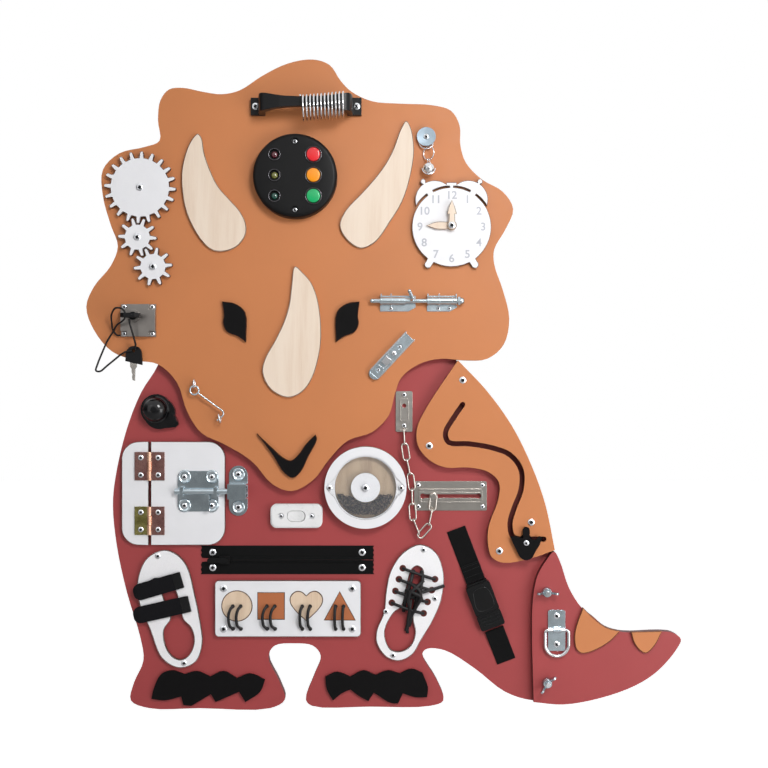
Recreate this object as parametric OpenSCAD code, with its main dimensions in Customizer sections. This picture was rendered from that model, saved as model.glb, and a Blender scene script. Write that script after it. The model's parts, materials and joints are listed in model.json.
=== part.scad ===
// Wall-hung wooden busy board in the shape of a horned dinosaur. The pieces are drawn as seen
// from the front, x to the right, y up and z towards the viewer, and stood up at the end.

/* [Panels] */
// Overall width of the board, from the cheek to the end of the tail
board_w = 760; // [740:5:860]
// Thickness of the body panel
body_t = 12; // [10:0.5:18]
// Thickness of the head, maze and tail panels
face_t = 12; // [11:0.5:18]
// Thickness of the glued horns, eyes, mouth, claws and spikes
glued_t = 4; // [3:0.5:6]
// Distance between the two keyhole hangers
hanger_span = 150; // [120:5:170]
// Diameter of a keyhole's round mouth
hanger_d = 9; // [8:0.5:11]

/* [Screws] */
// Head diameter of the panel screws
screw_head_d = 9; // [7:0.5:9.5]
// Height of a screw head
screw_head_h = 1.6; // [1.2:0.1:2]
// Shank diameter of the screws
screw_d = 3; // [2.5:0.1:3.2]
// Depth to which a screw goes into the wood
screw_bite = 8; // [6:0.5:9]

/* [Gears] */
// Module of the wooden gears: pitch diameter over number of teeth
gear_module = 4.2; // [3.8:0.1:4.4]
// Teeth of the large gear
large_teeth = 20; // [16:1:22]
// Teeth of the middle and the small gear
small_teeth = 10; // [9:1:11]
// Thickness of the gears
gear_t = 6; // [4:0.5:9]
// Diameter of the bolts that the gears and the clock hands turn on
pivot_d = 5; // [4:0.5:6]
// Head diameter of those bolts
pivot_head_d = 9; // [8:0.5:10]

/* [Pull handle and spring] */
// Hole spacing of the pull handle
handle_span = 128; // [124:2:136]
// Finger room under the handle's bar
handle_gap = 26; // [22:1:32]
// Width of the bar across its middle
handle_bar_w = 13; // [11:0.5:14]
// Thickness of the bar
handle_bar_t = 8; // [7:0.5:9]
// Width of the handle's feet
handle_foot_w = 22; // [18:1:24]
// Inner radius of the coil spring
spring_r = 14.8; // [14.6:0.1:17]
// Wire diameter of the coil spring
spring_wire = 2.2; // [1.6:0.1:2.6]
// Turns of the coil spring
spring_turns = 12; // [8:1:14]
// Length of the coil spring
spring_len = 56; // [46:1:60]

/* [Lamp] */
// Diameter of the round lamp housing
lamp_d = 106; // [100:1:112]
// Height of the lamp housing
lamp_h = 18; // [16:1:24]
// Diameter of the push buttons
button_d = 17; // [14:0.5:18]
// Travel of the push buttons
button_travel = 2; // [1:0.5:2.5]
// Distance between neighbouring buttons and lights
button_pitch = 26; // [25:0.5:28]

/* [Bell drop] */
// Diameter of the washer that the bell hangs from
washer_d = 24; // [22:0.5:24.5]
// Radius of the jingle bell
bell_r = 8.8; // [8:0.2:9.2]

/* [Clock] */
// Radius of the clock face
clock_r = 50; // [46:0.5:50.5]
// Thickness of the clock face
clock_t = 6; // [4:0.5:8]
// Thickness of each clock hand
hand_t = 3; // [2:0.5:4]
// Length of the clock hands from the hub
hand_len = 32; // [26:1:38]

/* [Bolts and latches] */
// Rod diameter of the barrel bolt
barrel_rod_d = 6; // [5:0.2:6.6]
// Overall length of the diagonal slide latch
latch_len = 72; // [66:1:80]
// Width of the diagonal slide latch
latch_w = 16; // [14:0.5:18]
// Side of the latch's square thumb piece
thumb_w = 9; // [7:0.5:9.5]
// Travel of the latch's thumb piece
thumb_travel = 5; // [3:0.5:6]
// Wire diameter of the hook and its eyes
hook_wire = 2.4; // [2:0.1:2.6]
// Distance from the hook's eye to the catching eye
hook_reach = 50; // [46:0.5:54]

/* [Lock] */
// Width of the lock plate
lock_w = 44; // [42:1:48]
// Height of the lock plate
lock_h = 41; // [38:1:44]
// Depth of the lock plate
lock_t = 8; // [7:0.5:12]
// Diameter of the lock's cylinder
cylinder_d = 16; // [15:0.5:18]
// Width of a key's head
key_head_w = 24; // [21:0.5:25]

/* [Door] */
// Width and height of the door with its fixed strip
door_w = 131.5; // [128:0.5:132]
// Thickness of the door
door_t = 6; // [5:0.5:8]
// Width of the fixed strip on the hinge side
strip_w = 34; // [32:0.5:36]
// Gap between the strip and the door leaf
door_gap = 3.2; // [2.6:0.1:4]
// Height of a hinge
hinge_h = 36; // [30:1:38]
// Width of an open hinge
hinge_w = 38; // [35:0.5:40]
// Outer diameter of a hinge knuckle
knuckle_d = 5; // [4.6:0.1:5.4]
// Diameter of the pad bolt's rod
pad_rod_d = 7.6; // [6:0.2:8]

/* [Switch] */
// Length of the light switch
switch_w = 66; // [60:1:72]
// Height of the light switch, as seen from the front
switch_h = 30.5; // [26:0.5:34]
// Depth of the light switch
switch_t = 10; // [9:0.5:14]

/* [Sand wheel] */
// Outer diameter of the sand wheel
wheel_d = 104; // [98:1:105]
// Inner diameter of its white ring
wheel_window_d = 81; // [76:1:82]
// Depth of the sand wheel
wheel_t = 14; // [12:0.5:18]
// Diameter of its hub
hub_d = 37; // [30:1:40]

/* [Door chain] */
// Length of the chain's slotted plate
track_w = 93; // [90:1:96]
// Height of the slotted plate
track_h = 37.5; // [34:0.5:40]
// Width of the slot
slot_w = 5; // [4.6:0.1:6]
// Wire diameter of the chain
chain_wire = 2.2; // [1.8:0.1:2.4]
// Outer length of a chain link
link_len = 24; // [23:0.1:25]
// Outer width of a chain link
link_w = 10.4; // [9.6:0.1:11]

/* [Zipper] */
// Length of the zipper tape
zipper_len = 222; // [210:1:226]
// Width of the zipper tape
zipper_w = 36.5; // [32:0.5:37]

/* [Shape plate] */
// Width of the shape plate
shapes_w = 186; // [180:1:192]
// Height of the shape plate
shapes_h = 71.5; // [66:0.5:73]
// Thickness of the shape plate and of its pieces
shapes_t = 6; // [5:0.5:9]
// Play around each piece in its cut-out
shapes_play = 0.4; // [0.3:0.1:0.8]
// Diameter of the cords
cord_d = 3; // [2:0.2:3.6]

/* [Shoes] */
// Thickness of the shoe plates
shoe_t = 5; // [4:0.5:8]
// Width of the touch fastener straps
velcro_w = 20; // [17:0.5:21]

/* [Webbing and buckle] */
// Width of the webbing
webbing_w = 25; // [22:0.5:26]
// Thickness of the webbing
webbing_t = 1.5; // [1:0.1:1.8]
// Width of the side-release buckle
buckle_w = 32; // [30:0.5:34]
// Thickness of the buckle
buckle_t = 9; // [8:0.5:11]

/* [Tail fittings] */
// Span of the wings of a wing nut
wing_span = 28; // [24:1:32]
// Diameter of the studs under the wing nuts
stud_d = 6; // [5:0.5:6.5]
// Width of the lashing plate
lashing_w = 22; // [20:0.5:23]
// Wire diameter of the lashing ring
ring_wire = 4; // [3:0.2:4.4]

/* [Maze] */
// Width of the maze groove
groove_w = 6.5; // [6:0.1:7.5]
// Thickness of the maze figure
figure_t = 4; // [3:0.5:6]

/* [Hidden] */
$fn = 48;

// Colours of the woods, plastics and metals
orange = [0.84, 0.55, 0.36];
red = [0.68, 0.28, 0.30];
plywood = [0.95, 0.90, 0.84];
white = [0.93, 0.93, 0.95];
black = [0.09, 0.09, 0.10];
zinc = [0.72, 0.75, 0.78];
bronze = [0.45, 0.32, 0.28];

// Front faces that the fittings stand on
body_z = body_t;
face_z = body_t + face_t;
// Running clearance of a pin in its bore, on the diameter
run = 0.1;
// Play between a piece that slides or turns and what it passes
play = 0.3;
// Width at which the outlines and places below are drawn
drawn_w = 760;

// A place or a row of places on the board, which move apart as the board grows
function at(x, y) = [x, y] * board_w / drawn_w;
function spread(points) = [for (p = points) concat(at(p.x, p.y), len(p) > 2 ? [p[2]] : [])];

// ---- curves ----

function wrap(points, i) = points[(i + len(points)) % len(points)];
function flat(p) = [p.x, p.y];
function is_corner(p) = len(p) > 2;
// Handle of the Bezier piece that leaves b towards c, where the curve comes from a
function handle(a, b, c) =
    let (e = sqrt(norm(b - a)), f = sqrt(norm(c - b)))
    (e * e * c - f * f * a + (2 * e * e + 3 * e * f + f * f) * b) / (3 * e * (e + f));
function bezier(b, p, q, c, t) =
    pow(1 - t, 3) * b + 3 * t * pow(1 - t, 2) * p + 3 * t * t * (1 - t) * q + pow(t, 3) * c;
function piece(a, b, c, d, steps) =
    let (p = handle(a, b, c), q = handle(d, c, b))
    [for (j = [0:steps - 1]) bezier(b, p, q, c, j / steps)];
// Closed smooth outline through its points; a third number on a point makes it a corner
function smooth(points, steps = 4) = [
    for (i = [0:len(points) - 1])
        let (
            b = flat(points[i]), c = flat(wrap(points, i + 1)),
            from_corner = is_corner(points[i]), to_corner = is_corner(wrap(points, i + 1)),
            a = from_corner ? 2 * b - c : flat(wrap(points, i - 1)),
            d = to_corner ? 2 * c - b : flat(wrap(points, i + 2))
        )
        each piece(a, b, c, d, from_corner && to_corner ? 1 : steps)
];
// Open smooth line through its points, in the plane or in space
function line_through(points, steps = 4) =
    let (last = len(points) - 1)
    concat([
        for (i = [0:last - 1])
            let (
                b = points[i], c = points[i + 1],
                a = i == 0 ? 2 * b - c : points[i - 1],
                d = i == last - 1 ? 2 * c - b : points[i + 2]
            )
            each piece(a, b, c, d, steps)
    ], [points[last]]);
function unit(v) = v / norm(v);
function left_of(v) = [-v.y, v.x];
// Outline of a groove of width w along a line, with round ends
function ribbon(line, w) =
    let (
        last = len(line) - 1,
        way = [for (i = [0:last]) unit(line[min(i + 1, last)] - line[max(i - 1, 0)])],
        near = atan2(way[0].y, way[0].x), far = atan2(way[last].y, way[last].x),
        cap = [for (k = [1:5]) -90 + 30 * k]
    )
    concat(
        [for (i = [0:last]) line[i] - left_of(way[i]) * w / 2],
        [for (c = cap) line[last] + [cos(far + c), sin(far + c)] * w / 2],
        [for (i = [last:-1:0]) line[i] + left_of(way[i]) * w / 2],
        [for (c = cap) line[0] + [cos(near + 180 + c), sin(near + 180 + c)] * w / 2]
    );

// ---- shapes used again and again ----

module place(p, z = 0, turn = 0) { translate([p.x, p.y, z]) rotate(turn) children(); }

module rounded(w, h, r) {
    square([w - 2 * r, h], center = true);
    square([w, h - 2 * r], center = true);
    for (x = [-1, 1], y = [-1, 1]) translate([x * (w / 2 - r), y * (h / 2 - r)]) circle(r);
}

module slab(w, h, r, t) { linear_extrude(t) rounded(w, h, r); }

module strip(a, b, w) {
    for (p = [a, b]) translate(p) circle(d = w);
    translate(a) rotate(atan2(b.y - a.y, b.x - a.x)) translate([0, -w / 2])
        square([norm(b - a), w]);
}

// Round bar between two points in space
module bar(a, b, d) {
    v = b - a;
    translate(a) rotate([0, acos(v.z / norm(v)), atan2(v.y, v.x)]) cylinder(h = norm(v), d = d);
}

// Bent round wire, slightly swollen at its corners
module wire(points, d) {
    for (i = [0:len(points) - 2]) bar(points[i], points[i + 1], d);
    for (p = points) translate(p) sphere(d = d + 0.3);
}

module ring(r, d) { rotate_extrude() translate([r, 0]) circle(d = d); }

// Part of a ring from the x axis on
module arc_bar(r, d, angle) { rotate_extrude(angle = angle) translate([r, 0]) circle(d = d); }

// Tube of a few sides swept along points in space
function cross_frame(v) =
    let (s = abs(v.z) < 0.9 ? unit(cross([0, 0, 1], v)) : unit(cross([1, 0, 0], v)))
    [s, cross(v, s)];
function carried(way, i, before) =
    let (s = unit(before - way[i] * (before * way[i]))) [s, cross(way[i], s)];
function frames(way, i = 0, made = []) =
    i == len(way) ? made
    : frames(way, i + 1, concat(made, [
        i == 0 ? cross_frame(way[0]) : carried(way, i, made[i - 1][0])
    ]));
module tube(line, d, sides = 8) {
    last = len(line) - 1;
    way = [for (i = [0:last]) unit(line[min(i + 1, last)] - line[max(i - 1, 0)])];
    f = frames(way);
    rings = [
        for (i = [0:last], k = [0:sides - 1])
            let (a = 360 * k / sides) line[i] + (f[i][0] * cos(a) + f[i][1] * sin(a)) * d / 2
    ];
    sides_f = [
        for (i = [0:last - 1], k = [0:sides - 1])
            let (n = (k + 1) % sides)
            [i * sides + k, (i + 1) * sides + k, (i + 1) * sides + n, i * sides + n]
    ];
    polyhedron(rings, concat(
        [[for (k = [0:sides - 1]) k]],
        sides_f,
        [[for (k = [sides - 1:-1:0]) last * sides + k]]
    ), convexity = 4);
}

// ---- where the fittings sit ----

gear_at = at(-308.5, 248.5);
gear_r = gear_module * large_teeth / 2;
pinion_r = gear_module * small_teeth / 2;
middle_way = -93;
small_way = -62;
middle_at = gear_at + (gear_r + pinion_r) * [cos(middle_way), sin(middle_way)];
small_at = middle_at + 2 * pinion_r * [cos(small_way), sin(small_way)];

handle_at = at(-98.5, 351);
handle_foot_t = 6;
foot_end = 6;
lamp_at = at(-112, 262);
light_x = -25.5;
button_x = 23.5;
bell_at = at(53.5, 313);
clock_at = at(85.5, 198.5);
barrel_at = at(43, 105);
latch_at = at(8, 34);
latch_way = 47;
hook_at = at(-239.5, 0.5);
hook_way = -50;
lock_at = at(-311, 80.5);
spare_at = at(-317, 42);
bike_at = at(-286, -37.5);
cap_at = bike_at + [-4.5, 5];
door_at = at(-268.5, -139.5);
switch_at = at(-111.5, -168);
wheel_at = at(-23.5, -131.5);
track_at = at(85, -143);
zipper_at = at(-123.5, -225);
shapes_at = at(-122.5, -286.5);
strap_top = at(92, -185.5);
strap_end = at(156.5, -354.5);
wing_at = [at(206.5, -264), at(207, -379)];
wing_turn = [0, 48];
lashing_at = at(219, -312.5);
figure_at = at(180, -197);

// ---- outlines ----

head_outline = spread([
    [-285, 309], [-287, 335], [-284, 360], [-273, 374], [-255, 376], [-230, 371], [-206, 368],
    [-183, 373], [-155, 391], [-122, 407], [-90, 412], [-69, 405], [-55, 385], [-41, 371],
    [-15, 359], [20, 356], [61, 354], [85, 347], [96, 328], [97, 303], [104, 281], [124, 260],
    [151, 244], [164, 222], [154, 196], [140, 171], [140, 152], [151, 119], [159, 83],
    [152, 50], [131, 32], [103, 30], [71, 32], [44, 25], [22, 8], [14, -12], [6, -40],
    [-15, -61], [-46, -72], [-69, -95], [-90, -122], [-117, -136], [-142, -127], [-168, -98],
    [-202, -77], [-232, -62], [-250, -35], [-263, 2], [-287, 25], [-315, 30], [-345, 41],
    [-368, 68], [-378, 98], [-368, 124], [-347, 150], [-338, 175], [-347, 202], [-357, 239],
    [-357, 272], [-336, 293], [-304, 301]
]);
body_outline = spread([
    [-289, 25], [-311, -11], [-330, -60], [-344, -121], [-347, -156], [-342, -207],
    [-329, -267], [-312, -324], [-308, -354], [-320, -382], [-324, -405], [-300, -415],
    [-236, -415], [-146, -415], [-127, -404], [-134, -380], [-148, -349], [-140, -335],
    [-115, -332], [-91, -335], [-81, -348], [-90, -374], [-100, -404], [-92, -412],
    [-18, -413], [59, -412], [76, -405], [67, -378], [49, -346], [55, -339], [78, -341],
    [116, -364], [155, -394], [191, -405], [230, -403], [262, -396, 1], [262, -300, 1],
    [232, -264], [214, -218], [202, -153], [185, -106], [160, -55], [128, -10], [96, 24],
    [84, 60], [84, 130], [66, 210], [20, 275], [-60, 312], [-150, 312], [-215, 270],
    [-245, 200], [-262, 110]
]);
maze_outline = spread([
    [94, 30, 1], [130, -8], [163, -54], [188, -105], [205, -153], [217, -211, 1], [188, -221],
    [152, -227], [137, -220], [132, -203], [133, -181], [145, -147], [146, -125], [133, -112],
    [108, -106], [78, -106], [57, -96], [43, -78], [42, -56], [53, -32], [72, -2]
]);
groove_line = line_through(spread([
    [100, -26], [89, -42], [78, -62], [82, -74], [108, -76], [137, -81], [160, -90],
    [174, -109], [174, -134], [165, -158], [160, -177], [163, -193], [170, -196.5], [178, -197],
    [191, -197], [203, -197]
]));
tail_outline = spread([
    [216, -213], [223, -224], [235, -259], [251, -284], [266, -296], [282, -309], [304, -315],
    [350, -314], [367, -316], [377, -324], [372, -336], [348, -364], [319, -383], [274, -399],
    [228, -407], [190, -404, 1], [188, -319], [189, -275], [194, -246], [206, -224]
]);

horn_shapes = [
    [
        [-236, 317], [-246, 305], [-255, 277], [-256, 251], [-250, 217], [-233, 184],
        [-218, 170], [-204, 168], [-187, 174], [-176, 188], [-175, 202], [-182, 218],
        [-196, 234], [-210, 250], [-220, 270], [-228, 293], [-231, 311]
    ],
    [
        [28, 333], [33, 327], [38, 297], [33, 262], [23, 231], [6, 203], [-11, 180],
        [-30, 172], [-48, 184], [-56, 201], [-49, 219], [-25, 245], [-4, 270], [10, 293],
        [21, 322]
    ],
    [
        [-113, 149], [-103, 141], [-92, 128], [-84, 106], [-80, 74], [-81, 45], [-91, 8],
        [-104, -10], [-122, -17], [-144, -6], [-154, 15], [-151, 31], [-138, 55],
        [-127, 78], [-120, 101], [-117, 125]
    ]
];
eye_shape = [
    [58, 91], [71, 102], [87, 104.5, 1], [85, 86], [86, 77], [81, 66], [67, 60],
    [57, 53, 1]
];
eye_gap = 118;
mouth_shape = [
    [-161, -63, 1], [-143, -80], [-127, -94], [-118, -97], [-109, -90], [-98, -75],
    [-87, -64, 1], [-85, -70], [-96, -92], [-106, -112], [-116, -119], [-127, -112],
    [-141, -90]
];
claw_shapes = [
    [
        [-297, -402, 1], [-294, -389], [-285, -371], [-271, -366], [-255, -371, 1],
        [-239, -367], [-222, -374, 1], [-205, -367], [-188, -376, 1], [-171, -370],
        [-152, -378, 1], [-158, -393], [-177, -406, 1], [-185, -393, 1], [-215, -406, 1],
        [-221, -396, 1], [-246, -411, 1], [-256, -410, 1], [-259, -399, 1], [-280, -404]
    ],
    [
        [-75, -374, 1], [-60, -368], [-43, -374, 1], [-26, -366], [-11, -372, 1],
        [5, -366], [20, -370, 1], [35, -364], [49, -369, 1], [56, -387], [55, -400, 1],
        [40, -400], [24, -395, 1], [18, -408, 1], [8, -407], [-13, -394, 1], [-20, -405, 1],
        [-31, -399], [-43, -390, 1], [-54, -395], [-65, -404, 1], [-73, -390]
    ]
];
spike_shapes = [
    [
        [252, -283, 1], [242, -313], [243, -334], [250, -341], [265, -338], [286, -326],
        [299, -313, 1], [281, -308], [265, -296]
    ],
    [[313, -314, 1], [318, -330], [331, -341], [343, -331], [352, -313, 1]]
];

shoe_left = [
    [-281, -212], [-301, -221], [-311, -238], [-315, -263], [-310, -286], [-298, -314],
    [-286, -346], [-273, -358], [-258, -362], [-240, -354], [-232, -331], [-235, -302],
    [-242, -268], [-251, -234], [-264, -218]
];
shoe_left_hole = [
    [-272, -299], [-281, -314], [-279, -334], [-270, -348], [-259, -352], [-248, -345],
    [-242, -328], [-246, -311], [-256, -300], [-266, -262], [-272, -255], [-282, -256],
    [-284, -264], [-277, -285]
];
shoe_right = [
    [46, -205], [24, -216], [9, -238], [3, -263], [0, -292], [-9, -314], [-9, -331],
    [3, -348], [19, -353], [36, -345], [47, -327], [62, -302], [73, -275], [76, -242],
    [66, -215]
];
shoe_right_hole = [
    [12, -292], [1, -314], [3, -330], [10, -340], [23, -341], [34, -334], [40, -318],
    [37, -299], [40, -270], [50, -246], [49, -236], [42, -232], [35, -237], [28, -262],
    [22, -284]
];
eyelets = spread([
    [24, -235], [19, -249], [14.5, -264], [10, -279],
    [65, -249], [61, -263], [55.5, -278], [50.5, -292.5]
]);

// ---- screws ----

// Screws as [x, y, seat height, head diameter, length below the seat]
function set(points, seat, head, bite = screw_bite) =
    [for (p = points) [p.x, p.y, seat, head, bite]];
small_head = 7;
plate_t = 1.5;
lamp_well = 4;
shape_screws = [for (x = [-1, 1], y = [-1, 1])
    shapes_at + [x * (shapes_w / 2 - 11), y * (shapes_h / 2 - 10)]];
zipper_screws = [for (x = [-1, 1], y = [-1, 1])
    zipper_at + [x * (zipper_len / 2 - 15.5), y * (zipper_w / 2 - 8.5)]];
lock_corner = [8.5, 7];
lock_screws = [for (x = [-1, 1], y = [-1, 1])
    lock_at + [x * (lock_w - lock_corner.x) / 2, y * (lock_h - lock_corner.y) / 2]];
track_screws = [for (x = [-1, 1], y = [-1, 1])
    track_at + [x * (track_w / 2 - 5.5), y * (track_h / 2 - 5)]];
hinge_rows = [door_w / 2 - 31, -(door_w / 2 - 31)];
hinge_screw_x = 11;
hinge_screw_y = 11;
pin_x = door_at.x - door_w / 2 + strip_w + door_gap / 2;
strip_screws = [for (row = hinge_rows, y = [-1, 1])
    [pin_x - hinge_screw_x, door_at.y + row + y * hinge_screw_y]];
leaf_screws = [for (row = hinge_rows, y = [-1, 1])
    [pin_x + hinge_screw_x, door_at.y + row + y * hinge_screw_y]];
keeper_w = 24;
keeper_h = 64;
keeper_at = [door_at.x + door_w / 2 + 4.5 + keeper_w / 2, door_at.y + 3];
function all_screws() = concat(
    set([handle_at - [handle_span / 2, 0], handle_at + [handle_span / 2, 0]],
        face_z + handle_foot_t, screw_head_d, screw_bite + handle_foot_t),
    set([lamp_at + [0, 43], lamp_at - [0, 43]],
        face_z + lamp_h - lamp_well, small_head, screw_bite + lamp_h - lamp_well),
    set([bell_at], face_z + washer_off + washer_t, small_head, screw_bite + washer_off),
    set([for (x = barrel_holes) barrel_at + [x, barrel_hole_y]], face_z + plate_t, 5),
    set([for (x = latch_holes) latch_at + x * [cos(latch_way), sin(latch_way)]], face_z + plate_t, 5),
    set(lock_screws, face_z + lock_t / 2, 6, screw_bite + lock_t / 2),
    set(spread([[100, 5], [57.5, -78.5], [187, -175.5], [146.5, -212]]),
        face_z, screw_head_d, face_t + screw_bite),
    set(spread([[-288.5, -219.5], [-255, -356]]), body_z + shoe_t, small_head,
        screw_bite + shoe_t),
    set(spread([[50.5, -211.5], [2.5, -290], [65, -273.5], [11.5, -346]]), body_z + shoe_t,
        small_head, screw_bite + shoe_t),
    set(zipper_screws, body_z + 1, screw_head_d),
    set(shape_screws, body_z + shapes_t, screw_head_d, screw_bite + shapes_t),
    set(strip_screws, body_z + door_t + plate_t, 7, screw_bite + door_t),
    set([keeper_at + [0, 21], keeper_at - [0, 21]], body_z + plate_t, 8, screw_bite),
    set([switch_at - [19.5, 0], switch_at + [19.5, 0]], body_z + switch_t - 3, 6,
        screw_bite + switch_t - 3),
    set([for (y = bracket_holes) bracket_at + [0, y]], body_z + plate_t, 6),
    set(track_screws, body_z + plate_t, 6),
    set([lashing_at + [0, 18.5], lashing_at - [0, 17.5]], face_z + 2, 8, face_t + screw_bite)
);
// Screws from behind, through the body panel into the head
back_screws = spread([
    [-220, 60], [-150, 160], [0, 160], [60, 80], [-80, 60], [-75, 280]
]);
back_well = 3;

module screw_shanks(gap = 0) {
    for (s = all_screws()) translate([s.x, s.y, s[2] - s[4]])
        cylinder(h = s[4] + gap, d = screw_d + gap);
    for (p = back_screws) translate([p.x, p.y, back_well - gap])
        cylinder(h = body_z - back_well + screw_bite + gap, d = screw_d + gap);
}

// Where the pivot bolts go in, with the height that each one's head sits at
washer_t = 1;
hand_floor = face_z + clock_t + 1;
PIVOTS = [
    [gear_at, face_z + washer_t + gear_t + play],
    [middle_at, face_z + washer_t + gear_t + play],
    [small_at, face_z + washer_t + gear_t + play],
    [clock_at + [0, 1.5], hand_floor + 2 * hand_t + 2 * play]
];
wheel_front = body_z + 1 + wheel_t;
stud_top = 15;
stud_head_d = 13;
stud_head_h = 4;

module pivot_shanks(gap = 0) {
    for (p = PIVOTS) translate([p[0].x, p[0].y, face_z - screw_bite])
        cylinder(h = p[1] - face_z + screw_bite, d = pivot_d + gap);
    translate([wheel_at.x, wheel_at.y, body_z - screw_bite])
        cylinder(h = wheel_front + play - body_z + screw_bite, d = pivot_d + gap);
}

module eye_shanks(gap = 0) {
    for (p = [hook_at, catch_at])
        translate([p.x, p.y, face_z - screw_bite]) cylinder(h = screw_bite + 3, d = hook_wire + gap);
}

module studs(gap = 0) {
    for (p = wing_at) translate([p.x, p.y, 0]) {
        translate([0, 0, gap > 0 ? -1 : play])
            cylinder(h = stud_head_h + (gap > 0 ? 1 + play + gap : 0), d = stud_head_d + gap);
        translate([0, 0, 1]) cylinder(h = face_z + stud_top - 1, d = stud_d + gap);
    }
}

module pan_head(d, h) {
    rotate_extrude() polygon([
        [0, 0], [d / 2, 0], [d / 2, h * 0.4], [d / 2 - h * 0.25, h * 0.8],
        [d / 2 - h * 0.75, h], [0, h]
    ]);
}

module fasteners() color(zinc) {
    screw_shanks();
    for (s = all_screws()) translate([s.x, s.y, s[2]]) pan_head(s[3], screw_head_h);
    for (p = back_screws) translate([p.x, p.y, back_well - screw_head_h])
        cylinder(h = screw_head_h, d = small_head);
    pivot_shanks();
    for (p = PIVOTS) place(p[0], p[1]) pan_head(pivot_head_d, screw_head_h + 0.4);
    place(wheel_at, wheel_front + play) pan_head(pivot_head_d, screw_head_h + 0.4);
    studs();
    place(bell_at, face_z + washer_off) difference() {
        cylinder(h = washer_t, d = washer_d);
        translate([0, 0, -1]) cylinder(h = 3, d = screw_d);
    }
    eye_shanks();
    place(hook_at, eye_z) rotate([0, 90, 0]) ring(eye_r, hook_wire);
    place(catch_at, eye_z, catch_turn) rotate([90, 0, 0]) ring(eye_r, hook_wire);
}

// ---- wooden panels ----

module keyhole(p) {
    slot = hanger_d / 2;
    translate([p.x, p.y, -1]) {
        cylinder(h = 8, d = hanger_d);
        linear_extrude(8) strip([0, 0], [0, 12], slot);
        translate([0, 0, 4]) linear_extrude(4) strip([0, 0], [0, 12], hanger_d);
    }
}

module body_panel() color(red) difference() {
    linear_extrude(body_t) polygon(smooth(body_outline));
    screw_shanks(0.4);
    pivot_shanks(0.2);
    studs(0.2);
    for (p = back_screws) translate([p.x, p.y, -1]) cylinder(h = back_well + 1, d = small_head + 1);
    for (x = [-1, 1]) keyhole(at(-75, 240) + [x * hanger_span / 2, 0]);
}

module head_panel() color(orange) difference() {
    translate([0, 0, body_z]) linear_extrude(face_t) polygon(smooth(head_outline));
    screw_shanks(0.4);
    pivot_shanks(0.2);
    eye_shanks(0.2);
}

module maze_panel() color(orange) difference() {
    translate([0, 0, body_z]) linear_extrude(face_t) polygon(smooth(maze_outline));
    screw_shanks(0.4);
    translate([0, 0, body_z - 1]) linear_extrude(face_t + 2) polygon(ribbon(groove_line, groove_w));
    translate([0, 0, body_z - 1]) linear_extrude(foot_room + 1)
        polygon(ribbon(groove_line, groove_w + 2 * foot_lip));
}

module tail_panel() color(red) difference() {
    translate([0, 0, body_z]) linear_extrude(face_t) polygon(smooth(tail_outline));
    screw_shanks(0.4);
    studs(0.2);
}

module glued_shapes() {
    translate([0, 0, face_z]) linear_extrude(glued_t) {
        color(plywood) for (s = horn_shapes) polygon(smooth(spread(s)));
        color(black) polygon(smooth(spread(mouth_shape)));
        color(orange) for (s = spike_shapes) polygon(smooth(spread(s)));
        color(black) for (side = [-1, 1]) translate([-eye_gap, 0]) scale([side, 1])
            polygon(smooth(spread(eye_shape)));
    }
    translate([0, 0, body_z]) linear_extrude(glued_t)
        color(black) for (s = claw_shapes) polygon(smooth(spread(s)));
}

// ---- gears ----

// Finger-shaped teeth: straight sides from the root and a round tip
function tooth(angle, pitch_r) =
    let (
        root_r = pitch_r - 1.14 * gear_module, tip_r = pitch_r + 0.9 * gear_module,
        root_half = 0.68 * gear_module, tip_half = 0.52 * gear_module,
        u = [cos(angle), sin(angle)], v = left_of(u), foot = sqrt(root_r * root_r - root_half * root_half)
    )
    concat(
        [u * foot - v * root_half],
        [for (k = [-4:4]) u * (tip_r - tip_half * (1 - cos(22.5 * k))) + v * tip_half * sin(22.5 * k)],
        [u * foot + v * root_half]
    );
module gear(teeth, first) {
    pitch_r = gear_module * teeth / 2;
    difference() {
        linear_extrude(gear_t) polygon([
            for (i = [0:teeth - 1]) let (a = first + 360 * i / teeth, m = a + 180 / teeth)
                each concat(tooth(a, pitch_r),
                    [[cos(m), sin(m)] * (pitch_r - 1.14 * gear_module)])
        ]);
        translate([0, 0, -1]) cylinder(h = gear_t + 2, d = pivot_d + run);
    }
}
// A tooth of each gear points at the gap of the one that drives it
large_first = middle_way;
middle_first = middle_way + 180 + 180 / small_teeth;
middle_to_small = small_way - middle_first;
small_first = small_way + 180 + 180 / small_teeth + middle_to_small;

module gear_large() color(white) place(gear_at, face_z + washer_t) gear(large_teeth, large_first);
module gear_middle() color(white) place(middle_at, face_z + washer_t) gear(small_teeth, middle_first);
module gear_small() color(white) place(small_at, face_z + washer_t) gear(small_teeth, small_first);

// ---- pull handle and its spring ----

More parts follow.
